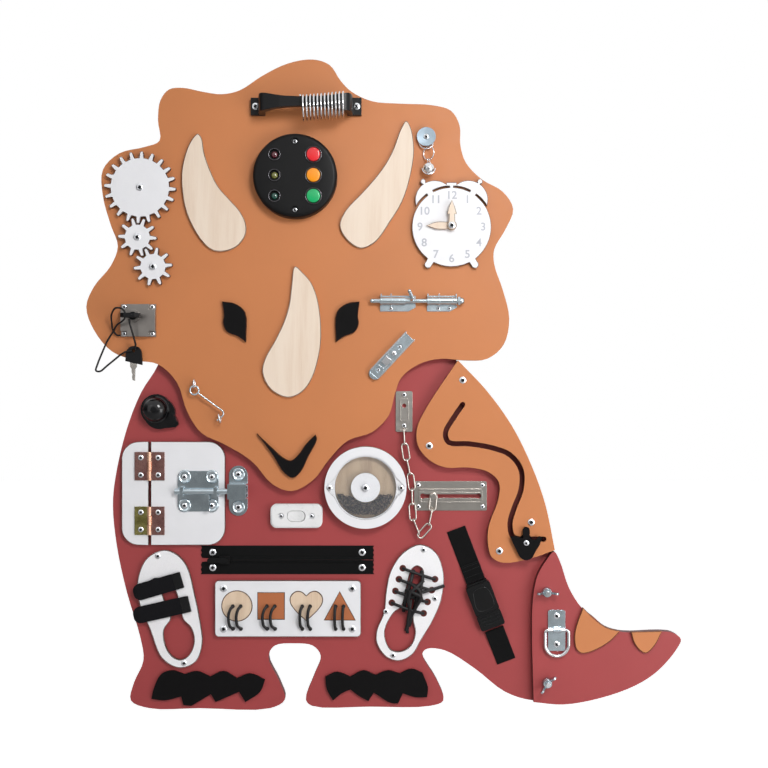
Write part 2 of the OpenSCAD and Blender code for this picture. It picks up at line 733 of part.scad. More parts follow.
handle_top = handle_gap + handle_bar_t;
module pull_handle() color(black) place(handle_at, face_z) difference() {
    h = handle_span / 2;
    out = h + foot_end;
    intersection() {
        rotate([90, 0, 0]) translate([0, 0, -handle_foot_w / 2])
            linear_extrude(handle_foot_w) polygon(smooth([
                [-out, 0, 1], [-out, handle_foot_t, 1], [-h + 5, handle_foot_t, 1],
                [-h + 5.5, handle_top - 12], [-h + 9, handle_top - 3], [-h + 18, handle_top],
                [h - 18, handle_top], [h - 9, handle_top - 3], [h - 5.5, handle_top - 12],
                [h - 5, handle_foot_t, 1], [out, handle_foot_t, 1], [out, 0, 1],
                [h - 12, 0, 1], [h - 12.5, handle_gap - 10], [h - 16, handle_gap - 3],
                [h - 24, handle_gap], [-h + 24, handle_gap], [-h + 16, handle_gap - 3],
                [-h + 12.5, handle_gap - 10], [-h + 12, 0, 1]
            ]));
        translate([0, 0, -1]) linear_extrude(handle_top + 2) polygon(smooth([
            [-out, -handle_foot_w / 2, 1], [-h + 11, -handle_foot_w / 2], [-h + 26, -handle_bar_w / 2 - 2],
            [-h + 42, -handle_bar_w / 2], [h - 42, -handle_bar_w / 2], [h - 26, -handle_bar_w / 2 - 2],
            [h - 11, -handle_foot_w / 2], [out, -handle_foot_w / 2, 1], [out, handle_foot_w / 2, 1],
            [h - 11, handle_foot_w / 2], [h - 26, handle_bar_w / 2 + 2], [h - 42, handle_bar_w / 2],
            [-h + 42, handle_bar_w / 2], [-h + 26, handle_bar_w / 2 + 2], [-h + 11, handle_foot_w / 2],
            [-out, handle_foot_w / 2, 1]
        ]));
    }
    for (x = [-h, h]) translate([x, 0, -1]) cylinder(h = handle_foot_t + 2, d = screw_d + 0.4);
}

// The spring hangs on the bar and tilts, because the bar is wider at its right end
spring_tilt = 4;
spring_right = handle_span / 2 - 14;
spring_drop = handle_foot_w / 2 - sqrt(pow(spring_r, 2) - pow(handle_bar_t / 2, 2)) - 0.2;
module coil_spring() color(zinc)
    translate([handle_at.x + spring_right, handle_at.y + spring_drop, face_z + handle_gap + handle_bar_t / 2])
    rotate(spring_tilt) {
        r = spring_r + spring_wire / 2;
        per_turn = 14;
        steps = per_turn * spring_turns;
        reach = spring_len - spring_wire;
        tube([for (i = [0:steps]) let (a = 360 * i / per_turn)
            [-spring_wire / 2 - reach * i / steps, r * cos(a), r * sin(a)]], spring_wire, 6);
    }

// ---- lamp ----

lamp_wall = 4;
button_flange = button_d + 2.4;
module lamp_housing() color(black) place(lamp_at, face_z) {
    difference() {
        union() {
            rotate_extrude() polygon(concat(
                [[0, 0], [lamp_d / 2, 0]],
                [for (a = [0:15:90]) [lamp_d / 2 - 5 + 5 * cos(a), lamp_h - 5 + 5 * sin(a)]],
                [[0, lamp_h]]
            ));
            for (k = [-1:1]) translate([button_x, k * button_pitch, lamp_h - 1])
                cylinder(h = 2, d = button_d + 4.4);
            for (k = [-1:1]) translate([light_x, k * button_pitch, lamp_h - 1])
                cylinder(h = 2, d = 16);
        }
        for (k = [-1:1]) translate([button_x, k * button_pitch, 0]) {
            translate([0, 0, lamp_h - lamp_wall - 1]) cylinder(h = lamp_wall + 4, d = button_d + play);
            translate([0, 0, lamp_h - lamp_wall - 7]) cylinder(h = 7, d = button_flange + 2 * play);
        }
        for (k = [-1:1]) translate([light_x, k * button_pitch, lamp_h - 3])
            cylinder(h = 6, d = 13);
        for (y = [-43, 43]) translate([0, y, 0]) {
            translate([0, 0, -1]) cylinder(h = lamp_h, d = screw_d + 0.4);
            translate([0, 0, lamp_h - lamp_well]) cylinder(h = lamp_well + 1, d = small_head + 1.6);
        }
    }
    lens_colours = ["darkgreen", "olive", "darkred"];
    for (k = [-1:1]) translate([light_x, k * button_pitch, lamp_h - 3]) color(lens_colours[k + 1]) {
        cylinder(h = 1.4, d = 8);
        translate([0, 0, 1.4]) intersection() {
            translate([0, 0, -3]) sphere(r = 5);
            translate([0, 0, -1]) cylinder(h = 4, d = 8);
        }
    }
}

module button(row) place(lamp_at + [button_x, row * button_pitch], face_z + lamp_h - lamp_wall) {
    rotate_extrude() polygon(concat(
        [[0, -2.2], [button_flange / 2, -2.2], [button_flange / 2, -0.2], [button_d / 2, -0.2]],
        [for (a = [0:30:90]) [button_d / 2 - 1.5 + 1.5 * cos(a), lamp_wall + button_travel + 0.5 + 1.5 * sin(a)]],
        [[0, lamp_wall + button_travel + 2]]
    ));
}
module red_button() color("firebrick") button(1);
module yellow_button() color("orange") button(0);
module green_button() color("seagreen") button(-1);

// ---- bell drop ----

// The washer stands off the board; the first ring lies behind it and hangs below its rim, the
// second hangs from the first, turned half across it
washer_off = 5.3;
thin_wire = 1.6;
ring_a_r = 9;
ring_a_tilt = 10;
ring_a_top = [0, (thin_wire + screw_d) / 2 + play, face_z + thin_wire];
ring_a_low = ring_a_top - 2 * ring_a_r * [0, cos(ring_a_tilt), -sin(ring_a_tilt)];
ring_b_r = 8.5;
ring_b_turn = 42;
ring_b_at = ring_a_low + [2.9, -6.2, 2.6];
bell_loop_r = 2.3;
bell_loop_at = ring_b_at - [0, ring_b_r + 0.8, 0];
module bell_rings() color(zinc) place(bell_at) {
    translate(ring_a_top) rotate([-ring_a_tilt, 0, 0]) translate([0, -ring_a_r, 0]) ring(ring_a_r, thin_wire);
    translate(ring_b_at) rotate([0, -ring_b_turn, 0]) ring(ring_b_r, thin_wire);
}
module jingle_bell() color(zinc) place(bell_at) translate(bell_loop_at) {
    rotate([0, 90 - ring_b_turn, 0]) ring(bell_loop_r, 1.2);
    rotate([-14, 0, 0]) translate([0, -bell_r - 1.7, 0]) {
        difference() {
            sphere(bell_r);
            sphere(bell_r - 0.9);
            for (turn = [0, 90]) rotate([90, 0, 0]) rotate(turn) translate([-bell_r, -0.8, 0])
                cube([2 * bell_r, 1.6, bell_r + 1]);
        }
        translate([0, -bell_r + 3.2, 0]) sphere(2);
    }
}

// ---- clock ----

module clock_outline() {
    circle(clock_r);
    for (side = [-1, 1]) {
        // bell on each side, with its knob
        rotate(90 + side * 32) {
            difference() {
                translate([clock_r - 9.4, 0]) circle(24.4);
                circle(clock_r + 2.5);
            }
            translate([clock_r - 4, -4]) square([8, 8]);
            translate([clock_r + 13, -1.6]) square([4, 3.2]);
            translate([clock_r + 18, 0]) circle(3.2);
        }
        // foot on each side
        rotate(-90 + side * 32) {
            translate([clock_r - 6, -4.5]) square([12, 9]);
            translate([clock_r + 6, 0]) circle(4.5);
        }
    }
    translate([-2.2, clock_r - 2]) square([4.4, 5]);
    translate([-6.3, clock_r + 2]) square([12.6, 4.4]);
}
module clock_face() color(white) place(clock_at, face_z) difference() {
    linear_extrude(clock_t) clock_outline();
    translate([0, 1.5, -1]) cylinder(h = clock_t + 2, d = pivot_d + 0.2);
}
module hand(points) {
    difference() {
        union() {
            cylinder(h = hand_t, r = 6);
            linear_extrude(hand_t) polygon(points);
        }
        translate([0, 0, -1]) cylinder(h = hand_t + 2, d = pivot_d + run);
    }
}
hub_at = clock_at + [0, 1.5];
module hour_hand() color(plywood) place(hub_at, hand_floor + play / 2) hand(smooth([
    [-2, 4.5, 1], [-hand_len * 0.6, 4.5], [-hand_len, 0, 1], [-hand_len * 0.6, -4.5], [-2, -4.5, 1]
]));
module minute_hand() color(plywood) place(hub_at, hand_floor + hand_t + play) hand([
    [-4, 2], [-3.6, hand_len * 0.45], [-6, hand_len * 0.45], [-3.4, hand_len * 0.75], [0, hand_len],
    [3.4, hand_len * 0.75], [6, hand_len * 0.45], [3.6, hand_len * 0.45], [4, 2]
]);

// ---- barrel bolt ----

barrel_axis = plate_t + barrel_rod_d / 2 + 1.5;
sleeve_d = barrel_rod_d + 3.4;
barrel_left = [-48, -3];
barrel_right = [11.5, 49.5];
barrel_holes = [-34, 26, 40];
barrel_hole_y = -9;
module sleeve(x0, x1, ribs) {
    difference() {
        union() {
            translate([x0, 0, barrel_axis]) rotate([0, 90, 0]) cylinder(h = x1 - x0, d = sleeve_d);
            translate([x0, -sleeve_d / 2, 0]) cube([x1 - x0, sleeve_d, barrel_axis]);
            for (x = ribs) {
                translate([x - 0.8, 0, barrel_axis]) rotate([0, 90, 0])
                    cylinder(h = 1.6, d = sleeve_d + 2.4);
                translate([x - 0.8, 0, barrel_axis - 1.2]) cube([1.6, sleeve_d / 2 + 4.4, 2.4]);
            }
        }
        translate([x0 - 1, 0, barrel_axis]) rotate([0, 90, 0])
            cylinder(h = x1 - x0 + 2, d = barrel_rod_d + play);
        translate([x0 - 1, -sleeve_d, -5]) cube([x1 - x0 + 2, 2 * sleeve_d, 5]);
    }
}
module barrel_plate(x0, x1) {
    difference() {
        translate([0, -13, 0]) linear_extrude(plate_t)
            polygon([[x0, 0], [x1 - 9, 0], [x1, 5], [x1, 20], [x0, 20]]);
        for (x = barrel_holes) translate([x, barrel_hole_y, -1]) cylinder(h = 4, d = screw_d + 0.4);
    }
}
module barrel_brackets() place(barrel_at, face_z) {
    barrel_plate(barrel_left[0], barrel_left[1]);
    sleeve(barrel_left[0], barrel_left[1] - 13, [barrel_left[0] + 1.5, barrel_left[0] + 14]);
    barrel_plate(barrel_right[0], barrel_right[1]);
    sleeve(barrel_right[0], barrel_right[1], [barrel_right[0] + 1.2, barrel_right[0] + 15, barrel_right[1] - 1.2]);
}
module barrel_bolt_rod() color(zinc) place(barrel_at, face_z + barrel_axis) {
    tip = barrel_left[0] - 10;
    end = barrel_right[1] + 5;
    translate([tip, 0, 0]) rotate([0, 90, 0]) cylinder(h = end - tip, d = barrel_rod_d);
    translate([end, 0, 0]) sphere(d = barrel_rod_d + 3);
    translate([barrel_right[1] + 0.8, 0, 0]) rotate([0, 90, 0]) cylinder(h = 3, d = barrel_rod_d + 6, $fn = 6);
    translate([tip, 0, 0]) sphere(d = barrel_rod_d + 0.4);
    // bent finger piece between the two brackets
    wire([[-9, 0, 0], [-7, 4, 6], [-11, 12, 8]], 4.6);
}

// ---- diagonal slide latch ----

latch_t = 5;
latch_holes = [-22, 18];
thumb_at = -7;
latch_slot = thumb_w + thumb_travel + 2;
latch_floor = 3.6;
module latch_body() place(latch_at, face_z, latch_way) difference() {
    linear_extrude(latch_t) polygon(concat(
        [[latch_len / 2, -latch_w / 2], [latch_len / 2, latch_w / 2]],
        [for (a = [90:15:270]) [(latch_w - latch_len) / 2, 0] + latch_w / 2 * [cos(a), sin(a)]]
    ));
    // channel between the two side walls, open at the square end
    translate([-latch_len / 2 + 5, -latch_w / 2 + 2, latch_floor]) cube([latch_len, latch_w - 4, latch_t]);
    // window that the thumb piece slides in, and its wider track below
    translate([thumb_at - thumb_w / 2 - thumb_travel - 1, -thumb_w / 2 - play / 2, 1])
        cube([latch_slot, thumb_w + play, latch_t]);
    translate([thumb_at - thumb_w / 2 - thumb_travel - 2, -thumb_w / 2 - 1.5, 1])
        cube([latch_slot + 2, thumb_w + 3, 2]);
    for (x = latch_holes) translate([x, 0, -1]) {
        cylinder(h = 4, d = screw_d + 0.4);
        translate([0, 0, 1 + plate_t]) cylinder(h = latch_t, d = 6.6);
    }
}
module slide_latch_thumb() color(zinc) place(latch_at, face_z, latch_way) {
    translate([thumb_at - thumb_w / 2, -thumb_w / 2, 1.2]) cube([thumb_w, thumb_w, latch_t + 0.8]);
    translate([thumb_at - thumb_w / 2 - 0.8, -thumb_w / 2 - 1.2, 1.2])
        cube([thumb_w + 1.6, thumb_w + 2.4, 1.6]);
}

// ---- chain bracket and slotted plate ----

bracket_w = 21.5;
bracket_h = 52;
bracket_box = [11.6, 28.5];
box_h = 4;
rim_t = 1.2;
rail_h = 4.5;
rail_w = track_w - 12;
slot_len = track_w - 20;
// The slider rests this far left of the slot's middle
slider_off = 22;
slider_at = track_at - [slider_off, 0];
neck_d = 4;
chain_z = body_z + 8.5;

// Directions of the links, from straight down, first to last; every other link stands on edge
link_turns = [3, 9, 12, 7, 1, 4, 22, 138, 168, 174];
link_play = 0.3;
function down(turn) = [sin(turn), -cos(turn)];
function link_step(i) =
    let (
        a = down(link_turns[i - 1]), b = down(link_turns[i]),
        to_wire = (link_len - chain_wire) / 2, to_bend = (link_len - link_w) / 2,
        inside = (link_w - chain_wire) / 2 - chain_wire - link_play
    )
    (i % 2 == 1 ? to_wire : to_bend) * a + inside * unit(a + b) + (i % 2 == 1 ? to_bend : to_wire) * b;
function link_offset(i) = i == 0 ? [0, 0] : link_offset(i - 1) + link_step(i);
last_link = len(link_turns) - 1;
neck_in_link = link_len / 2 - chain_wire - neck_d / 2 - 0.2;
first_link = slider_at - link_offset(last_link) - neck_in_link * down(link_turns[last_link]);
staple_at = first_link - (link_len / 2 - chain_wire - 1.2) * down(link_turns[0]);
bracket_at = staple_at + [0.5, bracket_h / 2 - 2.5];

module chain_bracket() difference() {
    union() {
        place(bracket_at, body_z) {
            slab(bracket_w, bracket_h, 2, plate_t);
            translate([0, 2, 0]) slab(bracket_box.x, bracket_box.y, 1.5, plate_t + box_h);
        }
        // staple that the first link hangs on
        for (side = [-1, 1]) translate([staple_at.x + side * 4.2 - 0.8, staple_at.y - 1, body_z])
            cube([1.6, 2, chain_z - body_z + 1]);
        bar(concat(staple_at - [4.2, 0], [chain_z]), concat(staple_at + [4.2, 0], [chain_z]), 1.8);
    }
    place(bracket_at, body_z) {
        // sunk face of the raised box, and the keyhole's round mouth
        translate([0, 2, plate_t + box_h - rim_t]) slab(bracket_box.x - 3, bracket_box.y - 3, 1, 2);
        translate([0, 7.5, -1]) cylinder(h = 9, d = 5.4);
        for (y = bracket_holes) translate([0, y, -1]) cylinder(h = 4, d = screw_d + 0.4);
    }
}
bracket_holes = [21.5, -18];
module slotted_plate() place(track_at, body_z) difference() {
    union() {
        slab(track_w, track_h, 2, plate_t);
        slab(rail_w, 18, 2, plate_t + rail_h);
    }
    translate([0, 0, 1]) slab(slot_len + 5, 11.5, 1.5, plate_t + rail_h - 2.5);
    translate([0, 0, -1]) linear_extrude(11) strip([-slot_len / 2, 0], [slot_len / 2, 0], slot_w);
    for (x = [-1, 1]) translate([x * (slot_len / 2 - 1), 0, -1]) cylinder(h = 11, d = slot_w + 2);
    // groove that leaves two raised frames, one inside the other
    translate([0, 0, plate_t + rail_h - rim_t]) difference() {
        slab(rail_w - 3.6, 18 - 3.6, 1.5, 2);
        translate([0, 0, -1]) slab(slot_len + 6, slot_w + 5, 1.5, 4);
    }
    for (x = [-1, 1], y = [-1, 1]) translate([x * (track_w / 2 - 5.5), y * (track_h / 2 - 5), -1])
        cylinder(h = 4, d = screw_d + 0.4);
}

// ---- lashing plate ----

lashing_h = 52;
lash_pivot = [0, 1];
lash_z = 2 + ring_wire / 2 + play;
module lashing_plate() place(lashing_at, face_z) difference() {
    union() {
        slab(lashing_w, lashing_h, 3, 2);
        translate([0, lash_pivot.y, lash_z]) rotate([0, 90, 0]) translate([0, 0, -5])
            cylinder(h = 10, d = ring_wire + 4);
        translate([-5, lash_pivot.y - ring_wire / 2 - 2, 0]) cube([10, ring_wire + 4, lash_z]);
    }
    translate([-6, lash_pivot.y, lash_z]) rotate([0, 90, 0]) cylinder(h = 12, d = ring_wire + 2 * play);
    for (y = [18.5, -17.5]) translate([0, y, -1]) cylinder(h = 4, d = screw_d + 0.4);
}
module lashing_ring() color(zinc) place(lashing_at + lash_pivot, face_z + lash_z) {
    half = 15;
    drop = 18;
    bend = 4;
    bar([bend - half, 0, 0], [half - bend, 0, 0], ring_wire);
    for (side = [-1, 1]) {
        translate([side * (half - bend), -bend, 0]) rotate(side > 0 ? 0 : 90)
            arc_bar(bend, ring_wire, 90);
        bar([side * half, -drop, 0], [side * half, -bend, 0], ring_wire);
    }
    translate([0, -drop, 0]) rotate(180) arc_bar(half, ring_wire, 180);
}

module fixed_metalwork() color(zinc) {
    barrel_brackets();
    latch_body();
    lock_plate();
    chain_bracket();
    slotted_plate();
    lashing_plate();
}

// ---- hook and eye ----

eye_r = 5.5;
eye_z = face_z + eye_r + 2.7;
// The hook swings about the low side of its eye
hook_pivot = hook_at - [0, eye_r];
catch_at = hook_pivot + hook_reach * [cos(hook_way), sin(hook_way)];
catch_turn = hook_way - 25;
hook_loop_r = 5.5;
hook_loop_at = hook_pivot + [0, hook_wire + 0.2 - hook_loop_r];
// Shank of the hook: out from its loop, round a bend and down through the catching eye
shank_d = hook_wire - 0.3;
shank_way = 14;
bend_r = 5;
tip_down = 4.5;
module cabin_hook() color(zinc) {
    place(hook_loop_at, eye_z) {
        ring(hook_loop_r, hook_wire);
        rotate(hook_way) {
            // the loop's centre, seen from the pivot along the hook
            seat = [
                (hook_loop_at.y - hook_pivot.y) * sin(hook_way),
                (hook_loop_at.y - hook_pivot.y) * cos(hook_way)
            ];
            bend = [hook_reach - bend_r - seat.x, 0];
            start = bend.x + bend_r * sin(-shank_way);
            rise = start * tan(shank_way);
            centre = [bend.x, rise - bend_r * cos(shank_way)];
            bar(hook_loop_r * [cos(shank_way), sin(shank_way), 0], [start, rise, 0], shank_d);
            translate(centre) arc_bar(bend_r, shank_d, 90 + shank_way);
            bar([centre.x + bend_r, centre.y, 0], [centre.x + bend_r, -seat.y - tip_down, 0], shank_d);
        }
    }
}

// ---- lock and keys ----

boss_h = 4;
plug_d = 10;
cylinder_at = lock_at + [-5.5, 5.5];
module lock_plate() difference() {
    union() {
        place(lock_at, face_z) linear_extrude(lock_t) square([lock_w, lock_h], center = true);
        place(cylinder_at, face_z + lock_t - 1) cylinder(h = boss_h + 1, d = cylinder_d);
    }
    // steps at the corners for the screws
    for (x = [-1, 1], y = [-1, 1])
        place(lock_at + [x * (lock_w / 2 - lock_corner.x / 2 + 1), y * (lock_h / 2 - lock_corner.y / 2 + 1)],
            face_z + lock_t) cube([lock_corner.x + 2, lock_corner.y + 2, lock_t], center = true);
    for (p = lock_screws) place(p, face_z - 1) cylinder(h = lock_t, d = screw_d + 0.4);
    place(cylinder_at, face_z + 2) cylinder(h = lock_t + boss_h, d = plug_d + 0.2);
}
key_t = 2;
key_z = face_z + lock_t + boss_h + 1;
module lock_key() place(cylinder_at) {
    color(zinc) translate([0, 0, face_z + 2.2]) cylinder(h = lock_t + boss_h - 1.8, d = plug_d);
    color(black) difference() {
        union() {
            translate([0, 0, key_z]) rotate([90, 0, 0]) translate([0, 0, -2.6]) linear_extrude(5.2)
                polygon([
                    [-key_head_w / 2 + 4, 0], [key_head_w / 2 - 4, 0], [key_head_w / 2, 6],
                    [key_head_w / 2, 16], [key_head_w / 2 - 5, 21], [-key_head_w / 2 + 5, 21],
                    [-key_head_w / 2, 16], [-key_head_w / 2, 6]
                ]);
            translate([-3.5, -1, key_z - 2.5]) cube([7, key_t, 4]);
        }
        translate([-key_head_w / 2 + 5, 5, key_z + 13]) rotate([90, 0, 0])
            cylinder(h = 10, d = cord_d + 2);
    }
}
spare_z = face_z + 1.5;
module spare_key() place(spare_at, spare_z) {
    color(black) difference() {
        linear_extrude(4) polygon(smooth([
            [-8.5, 0.5], [-5, 4.5], [0, 6], [6, 4.5], [9.5, 0], [11, -18, 1], [-10.5, -13, 1]
        ]));
        translate([0, 0, -1]) cylinder(h = 6, d = cord_d + 1.4);
    }
    color(zinc) translate([0, 0, 1]) linear_extrude(key_t) polygon([
        [-4.5, -14.5], [-4.5, -20], [-2.6, -23], [-2.6, -27], [-1.4, -30], [-2, -33], [-1.4, -37],
        [1.6, -38], [2, -23], [4, -20], [4, -16.5]
    ]);
}

// The cord runs from the plate through the lock key's head and down to the spare key, and its
// other strand comes back up; the points are chosen by hand
key_tail = [
    [-334, 61.5, 28], [-338, 62, 27], [-343, 68, 28], [-344, 78, 32], [-342, 88, 40], [-335, 95, 48],
    [-327, 94, 50.5], [-323.5, 90, 50], [-323.5, 86, 50], [-323.5, 82, 50], [-328, 78, 47],
    [-336, 74, 38], [-343, 65, 31], [-350, 55, 28], [-357, 40, 27], [-363, 25, 27], [-365, 17, 27],
    [-360, 16, 27], [-351, 23, 27], [-340, 32, 27], [-332, 38, 29], [-325, 41, 31.5], [-318, 42, 32]
];
key_strand = [
    [-314, 44, 32.5], [-313, 50, 36], [-314, 58, 41], [-316, 68, 45], [-318, 76, 46.5], [-318.5, 81.5, 47]
];
module key_cords() color(black) {
    tube(line_through(key_tail, 2), cord_d * 0.8);
    tube(line_through(key_strand, 2), cord_d * 0.8);
}

// ---- bicycle bell ----

module bike_bell() color(black) {
    place(bike_at, body_z) linear_extrude(8) {
        circle(20);
        translate([-4.5, 5]) circle(19.5);
        polygon([[-2, -19.9], [17, -17.8], [24, -14], [23, -9], [10, 17.3]]);
        translate([18.5, -12.5]) circle(5.3);
    }
    place(cap_at, body_z + 8) rotate_extrude() polygon(concat(
        [[0, 0], [17.2, 0], [17.2, 3]],
        [for (a = [0:12:84]) [3 + 12.5 * cos(a), 4.5 + 12.5 * sin(a)]],
        [[0, 17]]
    ));
}
module bike_bell_lever() color(black) place(bike_at + [12, -2], body_z + 8.3) {
    linear_extrude(5) {
        strip([4, -8], [7, -7], 8);
        translate([1.5, -8]) square([6, 8]);
        translate([4.5, 0]) circle(3);
    }
}

// ---- door ----

door_z = body_z;
door_front = body_z + door_t;
pin_z = door_front + knuckle_d / 2 + 0.1;
door_r = 21.5;
module door_outline() { rounded(door_w, door_w, door_r); }
module door_strip() color(white) difference() {
    place(door_at, door_z) intersection() {
        linear_extrude(door_t) door_outline();
        translate([-door_w, -door_w, 0]) cube([door_w / 2 + strip_w, 2 * door_w, door_t]);
    }
    for (p = strip_screws) place(p, door_z - 1) cylinder(h = door_t + 2, d = screw_d + 0.4);
}
module door_leaf() color(white) difference() {
    place(door_at, door_z) intersection() {
        linear_extrude(door_t) door_outline();
        translate([-door_w / 2 + strip_w + door_gap, -door_w, 0]) cube([door_w, 2 * door_w, door_t]);
    }
    for (p = concat(leaf_screws, pad_screws)) place(p, door_z + 1) cylinder(h = door_t, d = screw_d + 0.4);
}
knuckle_gap = 0.3;
pin_d = 2.4;
module hinge_side(side, row) {
    leaf_x = knuckle_d / 2 + 0.5;
    third = hinge_h / 3;
    spans = side < 0 ? [[-hinge_h / 2, third], [third / 2, third]] : [[-third / 2 + knuckle_gap, third - 2 * knuckle_gap]];
    translate([pin_x, door_at.y + row, 0]) {
        difference() {
            union() {
                translate([side < 0 ? -hinge_w / 2 : leaf_x, -hinge_h / 2, door_front])
                    cube([hinge_w / 2 - leaf_x, hinge_h, plate_t]);
                for (s = spans) translate([side < 0 ? -leaf_x - 0.5 : 0, s[0], door_front])
                    cube([leaf_x + 0.5, s[1], plate_t]);
                for (s = spans) translate([0, s[0] + s[1], pin_z]) rotate([90, 0, 0])
                    cylinder(h = s[1], d = knuckle_d);
            }
            if (side > 0) translate([0, hinge_h / 2, pin_z]) rotate([90, 0, 0])
                cylinder(h = hinge_h, d = pin_d + run);
            for (y = [-1, 1]) translate([side * hinge_screw_x, y * hinge_screw_y, door_front - 1])
                cylinder(h = plate_t + 2, d = screw_d + 0.4);
        }
        if (side < 0) translate([0, hinge_h / 2, pin_z]) rotate([90, 0, 0])
            cylinder(h = hinge_h, d = pin_d);
    }
}
// Keeper on the board: a bridge that the pad bolt's rod goes under
pad_z = door_front + plate_t + pad_rod_d / 2 + 0.4;
pad_y = door_at.y + 3;
keeper_room = 1;
keeper_wall = 1.8;
bridge_w = 19;
module keeper() difference() {
    union() {
        place(keeper_at, body_z) slab(keeper_w, keeper_h, keeper_w / 2 - 0.01, plate_t);
        place(keeper_at, body_z) linear_extrude(pad_z + pad_rod_d / 2 + keeper_room + keeper_wall - body_z)
            square([keeper_w, bridge_w], center = true);
    }
    // the tunnel under the bridge
    place(keeper_at, body_z + plate_t)
        linear_extrude(pad_z + pad_rod_d / 2 + keeper_room - body_z - plate_t)
            square([2 * keeper_w, bridge_w - 2 * keeper_wall], center = true);
    for (y = [-21, 21]) place(keeper_at + [0, y], body_z - 1) cylinder(h = 4, d = screw_d + 0.4);
}
module door_frame_hardware() {
    color(bronze) for (row = hinge_rows) hinge_side(-1, row);
    color(zinc) keeper();
}
// Pad bolt on the door leaf
pad_at = [door_at.x + door_w / 2 - 34, pad_y];
pad_hole = [17.5, 18.3];
pad_screws = [for (x = [-1, 1], y = [-1, 1]) pad_at + [x * pad_hole.x, y * pad_hole.y]];
saddle_x = [-22, 21];
saddle_w = 4.5;
module pad_plate() place(pad_at, door_front) difference() {
    union() {
        linear_extrude(plate_t) {
            for (x = [-1, 1], y = [-1, 1]) translate([x * pad_hole.x, y * pad_hole.y]) circle(8.6);
            square([2 * pad_hole.x + 17, 2 * pad_hole.y], center = true);
            square([2 * pad_hole.x, 2 * pad_hole.y + 15], center = true);
        }
        for (x = saddle_x) translate([x, -pad_rod_d / 2 - 2.2, 0])
            cube([saddle_w, pad_rod_d + 4.4, pad_z - door_front + pad_rod_d / 2 + 1.6]);
    }
    translate([-40, 0, pad_z - door_front]) rotate([0, 90, 0]) cylinder(h = 80, d = pad_rod_d + play);
    for (x = [-1, 1], y = [-1, 1]) translate([x * pad_hole.x, y * pad_hole.y, -1])
        cylinder(h = 4, d = screw_d + 0.4);
}
module door_hardware() {
    color(bronze) for (row = hinge_rows) hinge_side(1, row);
    color(zinc) pad_plate();
    color(zinc) for (p = concat(leaf_screws, pad_screws)) place(p, door_front + plate_t) {
        pan_head(7, screw_head_h);
        translate([0, 0, -plate_t - door_t + 1.4]) cylinder(h = plate_t + door_t - 1.4, d = screw_d);
    }
}
pad_tip_gap = 0.5;
module pad_bolt_rod() color(zinc) {
    right = keeper_at.x - keeper_w / 2 - pad_tip_gap;
    left = pad_at.x - 29;
    translate([left, pad_y, pad_z]) rotate([0, 90, 0]) cylinder(h = right - left, d = pad_rod_d);
    // flap that the finger pushes
    translate([pad_at.x + 9, pad_y - 25, pad_z - 1.2]) cube([6, 25, 2.6]);
}

// ---- light switch ----

rocker = [22.5, 13];
rocker_r = 6;
rocker_z = switch_t - 2.5;
module switch_housing() color(white) place(switch_at, body_z) difference() {
    union() {
        slab(switch_w, switch_h, 8, switch_t - 2);
        slab(switch_w - 3, switch_h - 3, 7, switch_t);
    }
    translate([0, 0, 2]) slab(rocker.x + 1, rocker.y + 0.8, rocker_r + 0.4, switch_t);
    translate([0, rocker.y / 2 + 2, rocker_z]) rotate([90, 0, 0]) cylinder(h = rocker.y + 4, d = 3 + run);
    for (x = [-19.5, 19.5]) translate([x, 0, 0]) {
        translate([0, 0, -1]) cylinder(h = switch_t, d = screw_d + 0.4);
        translate([0, 0, switch_t - 3]) cylinder(h = 4, d = 7.4);
    }
}
module switch_rocker() color(white) place(switch_at, body_z) translate([0, 0, rocker_z]) rotate([0, -6, 0]) {
    intersection() {
        translate([0, rocker.y / 2 + 1, 0]) rotate([90, 0, 0]) linear_extrude(rocker.y + 2) polygon(smooth([
            [-rocker.x / 2 - 1, 4.4, 1], [0, 2.8], [rocker.x / 2 + 1, 4.4, 1],
            [rocker.x / 2 + 1, -1.2, 1], [0, -3.4, 1], [-rocker.x / 2 - 1, -1.2, 1]
        ]));
        translate([0, 0, -5]) slab(rocker.x - 0.6, rocker.y, rocker_r, 12);
    }
    translate([0, rocker.y / 2 + 1.6, 0]) rotate([90, 0, 0]) cylinder(h = rocker.y + 3.2, d = 3);
}

// ---- sand wheel ----

disc_t = 4;
window_t = 2;
wheel_back = body_z + 1;
window_z = wheel_front - window_t;
ear_x = 45.5;
module wheel_drum() color([0.80, 0.72, 0.64]) place(wheel_at, wheel_back) difference() {
    cylinder(h = disc_t, d = wheel_d);
    translate([0, 0, -1]) cylinder(h = disc_t + 2, d = pivot_d + run);
}
module window_form(t, grow = 0) {
    cylinder(h = t, d = wheel_window_d + 2 * grow);
    linear_extrude(t) for (side = [-1, 1]) scale([side, 1]) polygon(smooth([
        [30, -25, 1], [40, -12 - grow], [ear_x + 2, -4 - grow], [ear_x + 3.6 + grow, 0],
        [ear_x + 2, 4 + grow], [40, 12 + grow], [30, 25, 1]
    ]));
}
module wheel_ring() color(white) place(wheel_at, wheel_back + disc_t) {
    ring_h = wheel_t - disc_t;
    difference() {
        cylinder(h = ring_h, d = wheel_d);
        translate([0, 0, -1]) cylinder(h = ring_h + 2, d = wheel_window_d - 3);
        translate([0, 0, ring_h - window_t]) window_form(window_t + 1, 0.2);
    }
    difference() {
        cylinder(h = ring_h - window_t, d = hub_d);
        translate([0, 0, -1]) cylinder(h = ring_h + 2, d = pivot_d + run);
    }
    // small screws through the window's ears
    for (side = [-1, 1]) translate([side * ear_x, 0, 0]) {
        translate([0, 0, 2]) cylinder(h = ring_h, d = screw_d);
        translate([0, 0, ring_h]) pan_head(small_head, screw_head_h);
    }
}
